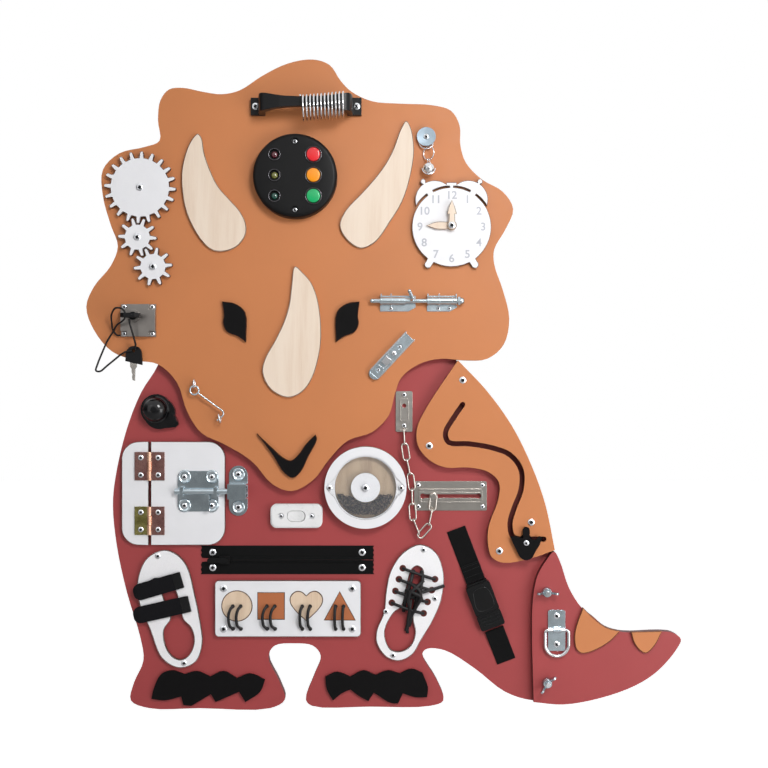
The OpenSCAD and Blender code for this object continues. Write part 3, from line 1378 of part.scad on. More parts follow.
module wheel_window() color([0.9, 0.95, 1, 0.4]) place(wheel_at, window_z) difference() {
    window_form(window_t);
    translate([0, 0, -1]) cylinder(h = window_t + 2, d = pivot_d + run);
    for (side = [-1, 1]) translate([side * ear_x, 0, -1]) cylinder(h = window_t + 2, d = screw_d + 0.4);
}
// The loose filling lies at the bottom however the wheel stands
module wheel_granules() color([0.25, 0.22, 0.22]) place(wheel_at, wheel_back + disc_t + 0.5) {
    linear_extrude(wheel_t - disc_t - window_t - 1) intersection() {
        difference() {
            circle(d = wheel_window_d - 5);
            circle(d = hub_d + 2);
        }
        polygon(smooth([
            [-60, -8, 1], [-20, -11], [20, -10], [60, -6, 1], [60, -70, 1], [-60, -70, 1]
        ]));
    }
}

// ---- chain ----

module link(p, turn, roll) {
    straight = link_len - link_w;
    r = (link_w - chain_wire) / 2;
    place(p, chain_z, turn) rotate([0, roll, 0]) {
        for (side = [-1, 1]) translate([side * r, -straight / 2, 0]) rotate([-90, 0, 0])
            cylinder(h = straight, d = chain_wire);
        for (side = [0, 180]) rotate(side) translate([0, straight / 2, 0])
            arc_bar(r, chain_wire, 180);
    }
}
module chain_links() color(zinc)
    for (i = [0:last_link]) link(first_link + link_offset(i), link_turns[i], i % 2 == 0 ? 90 : 0);

rail_top = plate_t + rail_h;
module chain_slider() color(zinc) place(slider_at, body_z) {
    translate([0, 0, 1.3]) cylinder(h = rail_h - 2.2, d = 9.5);
    translate([0, 0, 1.5]) cylinder(h = rail_top - 1, d = slot_w - 0.6);
    translate([0, 0, rail_top + 0.3]) cylinder(h = 0.8, d = 10);
    translate([0, 0, rail_top + 0.8]) cylinder(h = 3.8, d = neck_d);
    translate([0, 0, rail_top + 4.2]) cylinder(h = 1.2, d = 7);
}

// ---- zipper ----

tape_t = 1;
teeth_w = 6;
teeth_h = 1.6;
slider_x = -zipper_len / 2 + 30;
module zipper_tape() color(black) place(zipper_at, body_z) difference() {
    union() {
        translate([-zipper_len / 2, -zipper_w / 2, 0]) cube([zipper_len, zipper_w, tape_t]);
        translate([slider_x, -teeth_w / 2, 0]) cube([zipper_len / 2 - slider_x - 16, teeth_w, tape_t + teeth_h]);
    }
    for (x = [-1, 1], y = [-1, 1]) translate([x * (zipper_len / 2 - 15.5), y * (zipper_w / 2 - 8.5), -1])
        cylinder(h = 4, d = screw_d + 0.4);
}
module zipper_slider() color(black) place(zipper_at + [slider_x, 0], body_z + tape_t) {
    difference() {
        translate([-6, -5, 0.2]) cube([13, 10, teeth_h + 2]);
        translate([-7, -teeth_w / 2 - play, -1]) cube([15, teeth_w + 2 * play, teeth_h + 1.3]);
    }
    translate([-3, -1.2, teeth_h + 2]) cube([7, 2.4, 2]);
    translate([0, 0, teeth_h + 3.6]) linear_extrude(1.4) strip([2, 0], [-18, 0], 6);
}

// ---- shape plate ----

heart_shape = [
    [0, 12.5, 1], [6, 17.5], [13, 18], [19.5, 12], [19.8, 4], [14, -5], [0, -18.5, 1],
    [-14, -5], [-19.8, 4], [-19.5, 12], [-13, 18], [-6, 17.5]
];
circle_r = 19;
square_w = 33.5;
triangle_w = 38.5;
triangle_h = 35.5;
piece_x = [-65, -21.5, 23.5, 66];
piece_y = 3.5;
// Each shape, grown by its play where it is a cut-out
module circle_outline(grow = 0) { circle(circle_r + grow); }
module square_outline(grow = 0) { square(square_w + 2 * grow, center = true); }
module heart_outline(grow = 0) {
    polygon(smooth([for (p = heart_shape) concat(flat(p) * (1 + grow / 17), is_corner(p) ? [1] : [])]));
}
module triangle_outline(grow = 0) {
    side = triangle_w / 2 + 1.9 * grow;
    polygon([[-side, -triangle_h / 2 - grow], [side, -triangle_h / 2 - grow], [0, triangle_h / 2 + 2.1 * grow]]);
}
module shape_plate() color(white) place(shapes_at, body_z) difference() {
    slab(shapes_w, shapes_h, 5, shapes_t);
    translate([0, piece_y, -1]) linear_extrude(shapes_t + 2) {
        translate([piece_x[0], 0]) circle_outline(shapes_play);
        translate([piece_x[1], 0]) square_outline(shapes_play);
        translate([piece_x[2], 0]) heart_outline(shapes_play);
        translate([piece_x[3], 0]) triangle_outline(shapes_play);
    }
    for (x = [-1, 1], y = [-1, 1]) translate([x * (shapes_w / 2 - 11), y * (shapes_h / 2 - 10), -1])
        cylinder(h = shapes_t + 2, d = screw_d + 0.4);
}
module in_plate(k) { place(shapes_at + [piece_x[k], piece_y], body_z) linear_extrude(shapes_t) children(); }
module shape_circle() color([0.85, 0.74, 0.62]) in_plate(0) circle_outline();
module shape_square() color(orange) in_plate(1) square_outline();
module shape_heart() color(plywood) in_plate(2) heart_outline();
module shape_triangle() color(orange) in_plate(3) triangle_outline();

// ---- cords, laces and webbing ----

// Short loops from each piece to the plate, the points chosen by hand
tether_route = [
    [0, 0, 0.2], [0, 0, 2.5], [-3, -3, 5], [-6, -10, 6], [-6, -18, 5.5], [-4, -25, 4.5],
    [0, -29, 2.5], [0, -29, 0.2]
];
tether_x = [-5, 5];
// Crossing laces and their two loose ends, the points chosen by hand
lace_routes = [
    [[24, -235, 17], [27, -236, 19.5], [44, -242, 20.5], [62, -248, 19.5], [65, -249, 17]],
    [[19, -249, 17], [22, -250, 20], [40, -256, 23], [58, -262, 20], [61, -263, 17]],
    [[14.5, -264, 17], [17, -265, 19.5], [35, -271, 20.5], [52, -277, 19.5], [55.5, -278, 17]],
    [[10, -279, 17], [13, -280, 20], [30, -286, 23], [47, -291.5, 20], [50.5, -292.5, 17]],
    [[32, -272, 23.5], [40, -268, 24], [52, -264, 22], [64, -261, 20], [77, -257, 19]],
    [[34, -274, 23.5], [33, -284, 25], [31, -296, 21], [30, -308, 16], [30, -318, 14]]
];
module cords_and_laces() color(black) {
    for (x = piece_x, dx = tether_x)
        tube([for (p = line_through(tether_route, 2))
            [shapes_at.x + x + dx + p.x, shapes_at.y + piece_y + p.y, body_z + shapes_t + p.z]], cord_d);
    for (r = lace_routes) tube(line_through(r, 2), cord_d * 0.8, 6);
}

strap_len = norm(strap_end - strap_top);
strap_way = atan2(strap_end.y - strap_top.y, strap_end.x - strap_top.x);
buckle_from = 75;
socket_len = 38;
plug_base = 20;
buckle_z = body_z + play;
velcro_at = [at(-316, -266.5), at(-316, -295.5)];
velcro_len = [61, 70];
velcro_turn = [16.5, 13];
velcro_t = 2;
velcro_z = 1.2;
fold = 2.5;
module along_strap() { place(strap_top, 0, strap_way) children(); }
module strap_webbing() color(black) {
    along_strap() {
        translate([0, -webbing_w / 2, body_z]) cube([buckle_from - 3, webbing_w, webbing_t]);
        translate([buckle_from + socket_len + plug_base + 3, -webbing_w / 2, body_z])
            cube([strap_len - buckle_from - socket_len - plug_base - 3, webbing_w, webbing_t]);
    }
    for (k = [0, 1]) place(velcro_at[k], body_z + shoe_t, velcro_turn[k])
        translate([-fold, -velcro_w / 2, 0]) {
            cube([velcro_len[k] * 0.8, velcro_w, 1]);
            cube([fold, velcro_w, velcro_z + velcro_t]);
        }
}
cavity = [buckle_w - 6, buckle_t - 4];
module buckle_socket() color(black) along_strap() translate([buckle_from, 0, buckle_z]) difference() {
    union() {
        translate([socket_len / 2, 0, 0]) slab(socket_len, buckle_w, 3, buckle_t);
        translate([-3, -webbing_w / 2 - 1, 0]) cube([6, webbing_w + 2, buckle_t - 3]);
    }
    translate([5, -cavity.x / 2, 2]) cube([socket_len, cavity.x, cavity.y]);
    for (side = [-1, 1]) translate([12, side * buckle_w / 2, buckle_t / 2])
        cube([16, 8, cavity.y], center = true);
}
module buckle_plug() color(black) along_strap() translate([buckle_from + socket_len, 0, buckle_z]) {
    translate([play + plug_base / 2, 0, 0]) slab(plug_base, buckle_w, 3, buckle_t);
    arm_t = cavity.y - 2 * play;
    translate([-socket_len + 7, 0, 2 + play]) linear_extrude(arm_t) for (side = [-1, 1])
        scale([1, side]) polygon([
            [0, 6.5], [4, cavity.x / 2 - play], [10, cavity.x / 2 - play], [10, cavity.x / 2 - 4],
            [socket_len, cavity.x / 2 - 4], [socket_len, cavity.x / 2 - 8], [9, cavity.x / 2 - 8], [6, 6.5]
        ]);
    translate([-socket_len + 12, -1.5, 2 + play]) cube([socket_len - 4, 3, arm_t]);
}

module shoe_plates() color(white) difference() {
    translate([0, 0, body_z]) linear_extrude(shoe_t) {
        difference() {
            polygon(smooth(spread(shoe_left)));
            polygon(smooth(spread(shoe_left_hole)));
        }
        difference() {
            polygon(smooth(spread(shoe_right)));
            polygon(smooth(spread(shoe_right_hole)));
            for (p = eyelets) translate(p) circle(d = 4.6);
        }
    }
    screw_shanks(0.4);
}

module velcro(k) color(black) place(velcro_at[k], body_z + shoe_t + velcro_z, velcro_turn[k]) {
    translate([0, -velcro_w / 2, 0]) cube([velcro_len[k], velcro_w, velcro_t]);
}
module velcro_strap_upper() velcro(0);
module velcro_strap_lower() velcro(1);

// ---- wing nuts ----

module wing_nut(k) color(zinc) place(wing_at[k], face_z + 0.5, wing_turn[k]) difference() {
    union() {
        cylinder(h = 4, d1 = 13, d2 = 11);
        cylinder(h = 8, d = 10.5);
        for (side = [0, 180]) rotate(side) rotate([90, 0, 0]) translate([0, 0, -1.3]) linear_extrude(2.6)
            polygon(smooth([
                [4, 1, 1], [7, 1.5], [wing_span / 2 - 3, 7], [wing_span / 2, 13],
                [wing_span / 2 - 3, 15.5], [7, 11], [4, 7.5, 1]
            ]));
    }
    translate([0, 0, -1]) cylinder(h = 20, d = stud_d + run);
}
module wing_nut_upper() wing_nut(0);
module wing_nut_lower() wing_nut(1);

// ---- maze figure ----

foot_lip = 2.6;
foot_room = 4;
figure_gap = 2.5;
module maze_figure() color(black) place(figure_at) {
    translate([0, 0, face_z + figure_gap]) linear_extrude(figure_t) polygon(smooth([
        [-4, 2], [-4.5, 9], [-3.5, 14.5], [0, 16], [3.5, 14.5], [4.5, 9], [4, 2], [12, 0], [16, 4],
        [20, 3.5, 1], [17, -6], [12, -14], [7, -23], [0, -26], [-7, -23], [-13, -12], [-17, -4],
        [-20, 4, 1], [-13, 4]
    ]));
    translate([0, 0, face_z + play]) cylinder(h = figure_gap, d = 14);
    translate([0, 0, body_z + play]) cylinder(h = face_t + 1, d = groove_w - 0.6);
    translate([0, 0, body_z + play]) cylinder(h = foot_room - 2 * play, d = groove_w + 2 * foot_lip - 0.8);
    color(zinc) translate([0, -4, face_z + figure_gap + figure_t]) pan_head(small_head, screw_head_h);
}

// ---- the board stands upright, its back against the wall ----

rotate([90, 0, 0]) {
    body_panel();
    head_panel();
    maze_panel();
    tail_panel();
    glued_shapes();
    fasteners();
    pull_handle();
    lamp_housing();
    clock_face();
    fixed_metalwork();
    bike_bell();
    door_strip();
    door_frame_hardware();
    switch_housing();
    zipper_tape();
    shape_plate();
    shoe_plates();
    cords_and_laces();
    key_cords();
    strap_webbing();
    buckle_socket();
    wheel_granules();
    gear_large();
    gear_middle();
    gear_small();
    coil_spring();
    red_button();
    yellow_button();
    green_button();
    bell_rings();
    jingle_bell();
    hour_hand();
    minute_hand();
    barrel_bolt_rod();
    slide_latch_thumb();
    lock_key();
    spare_key();
    cabin_hook();
    bike_bell_lever();
    door_leaf();
    door_hardware();
    pad_bolt_rod();
    switch_rocker();
    wheel_drum();
    wheel_ring();
    wheel_window();
    chain_links();
    chain_slider();
    zipper_slider();
    shape_circle();
    shape_square();
    shape_heart();
    shape_triangle();
    velcro_strap_upper();
    velcro_strap_lower();
    buckle_plug();
    wing_nut_upper();
    wing_nut_lower();
    lashing_ring();
    maze_figure();
}
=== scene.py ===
"""Looks of the wooden busy board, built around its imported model."""
import json
import math
import random

import bmesh
import bpy
import numpy as np
from mathutils import Matrix, Vector


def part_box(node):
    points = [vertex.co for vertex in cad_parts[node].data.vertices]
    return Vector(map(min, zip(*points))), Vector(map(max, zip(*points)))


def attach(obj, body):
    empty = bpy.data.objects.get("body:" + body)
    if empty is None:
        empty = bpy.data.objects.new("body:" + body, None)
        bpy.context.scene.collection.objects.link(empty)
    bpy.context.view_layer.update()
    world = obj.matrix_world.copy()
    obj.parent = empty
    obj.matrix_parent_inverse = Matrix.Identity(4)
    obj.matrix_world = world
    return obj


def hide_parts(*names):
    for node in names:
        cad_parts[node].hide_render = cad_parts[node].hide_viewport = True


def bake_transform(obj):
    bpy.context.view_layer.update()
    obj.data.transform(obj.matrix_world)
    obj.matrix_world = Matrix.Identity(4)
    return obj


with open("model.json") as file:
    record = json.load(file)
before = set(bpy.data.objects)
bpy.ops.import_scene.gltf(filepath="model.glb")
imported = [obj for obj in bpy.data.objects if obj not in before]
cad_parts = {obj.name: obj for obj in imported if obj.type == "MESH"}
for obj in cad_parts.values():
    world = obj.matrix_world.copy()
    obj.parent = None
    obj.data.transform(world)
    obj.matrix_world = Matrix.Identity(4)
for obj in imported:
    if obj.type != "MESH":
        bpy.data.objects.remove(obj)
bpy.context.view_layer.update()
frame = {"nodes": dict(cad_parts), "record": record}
scene = bpy.context.scene
scene.view_settings.view_transform = "Standard"

BOARD = "board"
BODY_Z, FACE_Z = 12.0, 24.0          # front faces of the body panel and of the panels on it, mm


def at(x, y, z=0.0):
    """A place in millimetres (right, up, out of the wall) as a point in the row frame."""
    return Vector((x, -z, y)) / 1000


def to_row(points):
    p = np.asarray(points, float)
    return np.stack([p[:, 0], -p[:, 2], p[:, 1]], 1) / 1000


# ---- camera and studio ----

DISTANCE, HALF_VIEW = 1.5, 0.4915    # metres from the front face, and half the picture there
camera = bpy.data.cameras.new("camera")
camera.angle = 2 * math.atan(HALF_VIEW / DISTANCE)
eye = bpy.data.objects.new("camera", camera)
eye.location = (0, -BODY_Z / 1000 - DISTANCE, 0)
eye.rotation_euler = (math.pi / 2, 0, 0)
scene.collection.objects.link(eye)
scene.camera = eye


def lamp(name, place, size, power, target=(0, 0, 0), colour=(1, 1, 1)):
    light = bpy.data.lights.new(name, "AREA")
    light.size, light.energy, light.color = size, power, colour
    o = bpy.data.objects.new(name, light)
    o.location = place
    o.rotation_euler = (Vector(target) - Vector(place)).to_track_quat("-Z", "Y").to_euler()
    scene.collection.objects.link(o)


lamp("key", (0.42, -1.2, 0.62), 0.42, 10)
lamp("side", (1.05, -1.0, -0.35), 0.9, 10, (0.05, 0, -0.1))
lamp("fill", (-1.6, -1.9, 0.3), 1.6, 6)


def most(tree, *sockets):
    """The highest of several values."""
    best = sockets[0]
    for s in sockets[1:]:
        n = tree.nodes.new("ShaderNodeMath")
        n.operation = "MAXIMUM"
        tree.links.new(best, n.inputs[0])
        tree.links.new(s, n.inputs[1])
        best = n.outputs[0]
    return best


def either(tree, fac, low, high):
    """The first shader where fac is 0, the second where it is 1."""
    mix = tree.nodes.new("ShaderNodeMixShader")
    tree.links.new(fac, mix.inputs[0])
    tree.links.new(low, mix.inputs[1])
    tree.links.new(high, mix.inputs[2])
    return mix.outputs[0]


SOFT_LIGHT = 0.18                    # of the world on the object
FLOOR_GLOW = 0.82                    # lifts the pale floor to white, to look at only
FLOOR_HALF, FLOOR_Z = 6, -0.62       # metres

# the world: white to look at, a studio of pale and dark cards in reflections, soft light besides
world = bpy.data.worlds.new("studio")
scene.world = world
world.use_nodes = True
tree = world.node_tree
soft = tree.nodes["Background"]
soft.inputs["Color"].default_value = (1, 1, 1, 1)
soft.inputs["Strength"].default_value = SOFT_LIGHT
white = tree.nodes.new("ShaderNodeBackground")
white.inputs["Color"].default_value = (1, 1, 1, 1)
white.inputs["Strength"].default_value = 1.0
cards = tree.nodes.new("ShaderNodeBackground")
way = tree.nodes.new("ShaderNodeTexCoord")
parts = tree.nodes.new("ShaderNodeSeparateXYZ")
tree.links.new(way.outputs["Generated"], parts.inputs[0])
mixed = tree.nodes.new("ShaderNodeMath")
mixed.operation = "MULTIPLY_ADD"
mixed.inputs[1].default_value, mixed.inputs[2].default_value = 0.35, 0.5
tree.links.new(parts.outputs["Z"], mixed.inputs[0])
aside = tree.nodes.new("ShaderNodeMath")
aside.operation = "MULTIPLY_ADD"
aside.inputs[1].default_value = 0.18
tree.links.new(parts.outputs["X"], aside.inputs[0])
tree.links.new(mixed.outputs[0], aside.inputs[2])
ramp = tree.nodes.new("ShaderNodeValToRGB")
# grey of the cards from low and left to high and right
CARDS = ((0.0, 0.04), (0.38, 0.07), (0.46, 0.2), (0.505, 0.4), (0.56, 0.85), (0.66, 1.0), (1.0, 1.0))
for i, (place, grey) in enumerate(CARDS):
    if i > 1:
        ramp.color_ramp.elements.new(place)
    ramp.color_ramp.elements[i].position = place
    ramp.color_ramp.elements[i].color = (grey, grey, grey, 1)
tree.links.new(aside.outputs[0], ramp.inputs["Fac"])
tree.links.new(ramp.outputs["Color"], cards.inputs["Color"])
path = tree.nodes.new("ShaderNodeLightPath")
seen = most(tree, path.outputs["Is Camera Ray"], path.outputs["Is Transmission Ray"])
lit = either(tree, path.outputs["Is Glossy Ray"], soft.outputs[0], cards.outputs[0])
tree.links.new(either(tree, seen, lit, white.outputs[0]), tree.nodes["World Output"].inputs[0])

floor = bpy.data.meshes.new("floor")
corners = ((-1, -1), (1, -1), (1, 1), (-1, 1))
floor.from_pydata([(a * FLOOR_HALF, b * FLOOR_HALF, FLOOR_Z) for a, b in corners], [], [(0, 1, 2, 3)])
ground = bpy.data.objects.new("floor", floor)
scene.collection.objects.link(ground)
m = bpy.data.materials.new("floor")
m.use_nodes = True
tree = m.node_tree
base = tree.nodes["Principled BSDF"]
base.inputs["Base Color"].default_value = (0.82, 0.82, 0.82, 1)
base.inputs["Roughness"].default_value = 0.9
glow = tree.nodes.new("ShaderNodeEmission")
glow.inputs["Strength"].default_value = FLOOR_GLOW
both = tree.nodes.new("ShaderNodeAddShader")
tree.links.new(base.outputs[0], both.inputs[0])
tree.links.new(glow.outputs[0], both.inputs[1])
path = tree.nodes.new("ShaderNodeLightPath")
seen = most(tree, path.outputs["Is Camera Ray"], path.outputs["Is Transmission Ray"])
tree.links.new(either(tree, seen, base.outputs[0], both.outputs[0]), tree.nodes["Material Output"].inputs[0])
floor.materials.append(m)


# ---- materials ----

def linear(rgb):
    """A screen colour, 0 to 255, as the shader's own."""
    return tuple(((c / 255) / 12.92 if c <= 10 else ((c / 255 + 0.055) / 1.055) ** 2.4) for c in rgb) + (1.0,)


class Finish:
    """One procedural material. Places are those of the object, in metres."""

    def __init__(self, name, rgb, rough=0.5, metal=0.0, **plain):
        self.m = bpy.data.materials.new(name)
        self.m.use_nodes = True
        self.t = self.m.node_tree
        self.b = self.t.nodes["Principled BSDF"]
        self.b.inputs["Base Color"].default_value = linear(rgb)
        self.b.inputs["Roughness"].default_value = rough
        self.b.inputs["Metallic"].default_value = metal
        for k, v in plain.items():
            self.b.inputs[k.replace("_", " ")].default_value = v
        self.place = self.add("TexCoord")
        edge = self.add("Bevel", samples=4)
        edge.inputs["Radius"].default_value = 0.0005
        self.t.links.new(edge.outputs[0], self.b.inputs["Normal"])

    def add(self, kind, links=None, **settings):
        n = self.t.nodes.new("ShaderNode" + kind)
        for k, v in settings.items():
            if k in n.inputs:
                n.inputs[k].default_value = v
            else:
                setattr(n, k, v)
        for k, v in (links or {}).items():
            self.t.links.new(v, n.inputs[k])
        return n

    def coords(self, turn=0.0, stretch=(1, 1, 1)):
        """Object coordinates turned about the wall's normal and stretched along their axes."""
        return self.add("Mapping", {"Vector": self.place.outputs["Object"]},
                        Rotation=(0, math.radians(turn), 0), Scale=stretch).outputs[0]

    def noise(self, scale, detail=4.0, rough=0.5, turn=0.0, stretch=(1, 1, 1), twist=0.0):
        return self.add("TexNoise", {"Vector": self.coords(turn, stretch)}, Scale=scale, Detail=detail,
                        Roughness=rough, Distortion=twist).outputs["Fac"]

    def cells(self, scale, stretch=(1, 1, 1), out="Distance"):
        return self.add("TexVoronoi", {"Vector": self.coords(0, stretch)}, Scale=scale).outputs[out]

    def waves(self, scale, turn=0.0, along="X", twist=0.0, detail=0.0):
        return self.add("TexWave", {"Vector": self.coords(turn)}, Scale=scale, Distortion=twist, Detail=detail,
                        bands_direction=along).outputs["Fac"]

    def ramp(self, fac, *stops):
        n = self.add("ValToRGB", {"Fac": fac})
        while len(n.color_ramp.elements) < len(stops):
            n.color_ramp.elements.new(0.5)
        for e, (p, rgb) in zip(n.color_ramp.elements, stops):
            e.position, e.color = p, linear(rgb)
        return n.outputs["Color"]

    def side(self):
        """1 on the cut sides of a panel, 0 on its faces."""
        n = self.add("SeparateXYZ", {0: self.place.outputs["Normal"]}).outputs["Y"]
        a = self.add("Math", {0: n}, operation="ABSOLUTE").outputs[0]
        return self.add("Math", {0: a}, operation="LESS_THAN").outputs[0]

    def mix(self, fac, a, b):
        n = self.add("Mix", {"Factor": fac}, data_type="RGBA")
        self.t.links.new(a, n.inputs[6])
        self.t.links.new(b, n.inputs[7])
        return n.outputs[2]

    def colour(self, socket):
        self.t.links.new(socket, self.b.inputs["Base Color"])
        return self

    def roughness(self, fac, low, high):
        n = self.add("MapRange", {"Value": fac})
        n.inputs["To Min"].default_value, n.inputs["To Max"].default_value = low, high
        self.t.links.new(n.outputs[0], self.b.inputs["Roughness"])
        return self

    def bump(self, height, strength=0.3, deep=0.0002):
        before = self.b.inputs["Normal"].links
        n = self.add("Bump", {"Height": height}, Strength=strength, Distance=deep)
        if before:
            self.t.links.new(before[0].from_socket, n.inputs["Normal"])
        self.t.links.new(n.outputs[0], self.b.inputs["Normal"])
        return self


def paint(name, rgb, edge):
    """Matt stain over smooth board; the cut sides are painted darker, as shade along the edges, and drier."""
    f = Finish(name, rgb, 0.5)
    low = tuple(c * 0.965 for c in rgb)
    face = f.ramp(f.noise(9, 6), (0.3, low), (0.7, rgb))
    # painted shade: the cut sides take a darker copy of the board's colour
    sides = f.ramp(f.noise(260, 3), (0.3, tuple(c * 0.85 for c in edge)), (0.7, edge))
    f.colour(f.mix(f.side(), face, sides))
    f.roughness(f.noise(70, 5), 0.42, 0.58)
    return f.bump(f.noise(1400, 3), 0.12, 0.00008)


def ply(name, pale, dark, turn, sides=((206, 170, 130), (164, 124, 88))):
    """Birch plywood: long figure on the face, its layers on the cut sides."""
    f = Finish(name, pale, 0.55)
    figure = f.noise(55, 8, 0.6, turn, (1, 1, 0.09), 0.6)
    pores = f.noise(900, 2, 0.5, turn, (1, 1, 0.04))
    face = f.mix(pores, f.ramp(figure, (0.35, dark), (0.6, pale)), f.ramp(figure, (0.3, pale), (0.7, pale)))
    layers = f.waves(180, 0, "Y", 0.4)
    f.colour(f.mix(f.side(), face, f.ramp(layers, (0.35, sides[1]), (0.65, sides[0]))))
    f.bump(pores, 0.25, 0.0001)
    return f.bump(figure, 0.1, 0.0002)


def plastic(name, rgb, rough=0.35, grain=0.1, scale=1200, **plain):
    f = Finish(name, rgb, rough, **plain)
    f.colour(f.ramp(f.noise(40, 4), (0.3, tuple(c * 0.96 for c in rgb)), (0.7, rgb)))
    f.roughness(f.noise(160, 5), rough * 0.85, min(1, rough * 1.2))
    return f.bump(f.noise(scale, 3), grain, 0.0001)


def metal(name, rgb, rough=0.25, uneven=0.06, brushed=0.0, **plain):
    f = Finish(name, rgb, rough, 1.0, **plain)
    f.colour(f.ramp(f.noise(90, 4), (0.3, tuple(c * (1 - uneven) for c in rgb)), (0.7, rgb)))
    f.roughness(f.noise(140, 4), rough * 0.8, min(1, rough * 1.25))
    if brushed:
        f.bump(f.noise(brushed, 3, 0.6, 0, (0.04, 1, 1)), 0.12, 0.00005)
    return f.bump(f.noise(800, 2), 0.03, 0.00005)


def laminate(name, rgb, edge, rough=0.38, specks=0.0, grain=0.08):
    """White-faced plywood, its laser-cut sides burnt brown."""
    f = Finish(name, rgb, rough)
    face = f.ramp(f.noise(40, 4), (0.3, tuple(c * 0.985 for c in rgb)), (0.7, rgb))
    if specks:
        spots = f.ramp(f.noise(1100, 2, 0.7), (0.42, tuple(c * (1 - specks) for c in rgb)), (0.56, rgb))
        face = f.mix(f.noise(60, 3), spots, face)
    sides = f.ramp(f.noise(300, 3), (0.3, tuple(c * 0.8 for c in edge)), (0.7, edge))
    f.colour(f.mix(f.side(), face, sides))
    f.roughness(f.noise(160, 5), rough * 0.85, rough * 1.2)
    return f.bump(f.noise(1200, 3), grain, 0.0001)


def cloth(name, rgb, across=900, along=600, rough=0.85):
    """Woven tape: crossing ribs in the piece's own directions."""
    f = Finish(name, rgb, rough, Sheen_Weight=0.1, Sheen_Roughness=0.5, Specular_IOR_Level=0.15)
    warp = f.waves(across / 6.28, 0, "Z", 0.6)
    weft = f.waves(along / 6.28, 0, "X", 0.6)
    weave = f.mix(f.noise(400, 2), warp, weft)
    f.colour(f.ramp(weave, (0.2, tuple(c * 0.6 for c in rgb)), (0.8, tuple(min(255, c * 1.5) for c in rgb))))
    return f.bump(weave, 0.7, 0.0004)


ORANGE, RED, BURNT = (205, 128, 76), (168, 65, 66), (88, 62, 50)
M = {
    # each board's second colour is for its cut sides: darker, as painted shade
    "orange": paint("orange_board", ORANGE, (128, 70, 44)),
    "red": paint("red_board", RED, (98, 34, 38)),
    "horn": ply("pale_plywood", (240, 222, 203), (224, 198, 174), 12),
    "disc": ply("disc_plywood", (194, 170, 142), (148, 122, 100), 84),
    "piece": ply("piece_plywood", (236, 212, 186), (212, 182, 152), 78),
    "piece_dark": paint("piece_orange", (190, 112, 68), (100, 56, 34)),
    "black_wood": plastic("black_stain", (14, 13, 14), 0.65, 0.25, 500, Specular_IOR_Level=0.1),
    "white": laminate("white_laminate", (243, 243, 246), BURNT),
    "white_moulded": plastic("white_moulded", (246, 246, 246), 0.28, 0.05),
    "shoe": laminate("shoe_laminate", (252, 251, 253), BURNT, 0.5, 0.05, 0.3),
    "black": plastic("black_moulded", (15, 15, 17), 0.34, 0.2, Specular_IOR_Level=0.25),
    "gloss_black": plastic("black_gloss", (12, 12, 14), 0.16, 0.05, Specular_IOR_Level=0.4, Coat_Weight=0.15),
    "matte_black": plastic("black_matte", (11, 11, 12), 0.4, 0.25, Specular_IOR_Level=0.2),
    "zinc": metal("zinc_plate", (205, 218, 225), 0.2, 0.1),
    "steel": metal("screw_steel", (236, 238, 242), 0.2),
    # painted shade: the steel cross recesses of the screws are coloured near black
    "recess": plastic("screw_recess_shade", (26, 25, 28), 0.6, Specular_IOR_Level=0.2),
    # burnt wood of the pocket walls, and painted shade in the gaps round the shape pieces
    "burnt": plastic("burnt_edge_and_gap_shade", (92, 60, 44), 0.7, 0.3, 600, Specular_IOR_Level=0.2),
    "seared": plastic("seared_edge", (78, 46, 32), 0.7, 0.3, 600, Specular_IOR_Level=0.1),
    "bright": metal("bright_nickel", (236, 236, 238), 0.12),
    "nickel": metal("satin_nickel", (214, 208, 200), 0.22, brushed=300),
    "dull": metal("dull_nickel", (158, 152, 147), 0.3, brushed=400),
    "bezel": metal("dark_bezel", (108, 106, 110), 0.22),
    "cord": plastic("cord_braid", (14, 13, 15), 0.5, 0.9, 1500, Specular_IOR_Level=0.4),
    "tape": cloth("zipper_tape_weave", (5, 5, 6), 2600, 1800),
    "webbing": cloth("webbing_weave", (4, 4, 5), 2200, 3400),
    "hook_tape": cloth("touch_tape_weave", (9, 9, 13), 4200, 4200),
    "washer": metal("blued_zinc", (122, 134, 143), 0.36, 0.12),
    "grey_print": plastic("number_grey", (196, 197, 206), 0.5),
}
PIN_X, LOWER_HINGE = -0.29865, -0.139
hinge = Finish("hinge_plating", (120, 84, 80), 0.3, 0.9)
where = hinge.add("SeparateXYZ", {0: hinge.place.outputs["Object"]})
left = hinge.add("Math", {0: where.outputs["X"]}, operation="LESS_THAN")
left.inputs[1].default_value = PIN_X
low = hinge.add("Math", {0: where.outputs["Z"]}, operation="LESS_THAN")
low.inputs[1].default_value = LOWER_HINGE
away = hinge.add("Math", {0: where.outputs["X"]}, operation="SUBTRACT")
away.inputs[1].default_value = PIN_X
near = hinge.add("Math", {0: hinge.add("Math", {0: away.outputs[0]}, operation="ABSOLUTE").outputs[0]},
                 operation="LESS_THAN")
near.inputs[1].default_value = 0.0031
olive = hinge.add("Math", {0: left.outputs[0], 1: low.outputs[0]}, operation="MULTIPLY").outputs[0]
patches = hinge.noise(60, 5, 0.6)
brown = hinge.ramp(patches, (0.3, (132, 92, 88)), (0.7, (166, 124, 116)))
green = hinge.ramp(patches, (0.3, (118, 112, 62)), (0.7, (172, 164, 104)))
pink = hinge.ramp(patches, (0.3, (226, 166, 140)), (0.7, (246, 206, 176)))
hinge.colour(hinge.mix(near.outputs[0], hinge.mix(olive, brown, green), pink))
M["bronze"] = hinge.roughness(hinge.noise(300, 5), 0.2, 0.36).bump(hinge.noise(260, 3), 0.05, 0.0001)
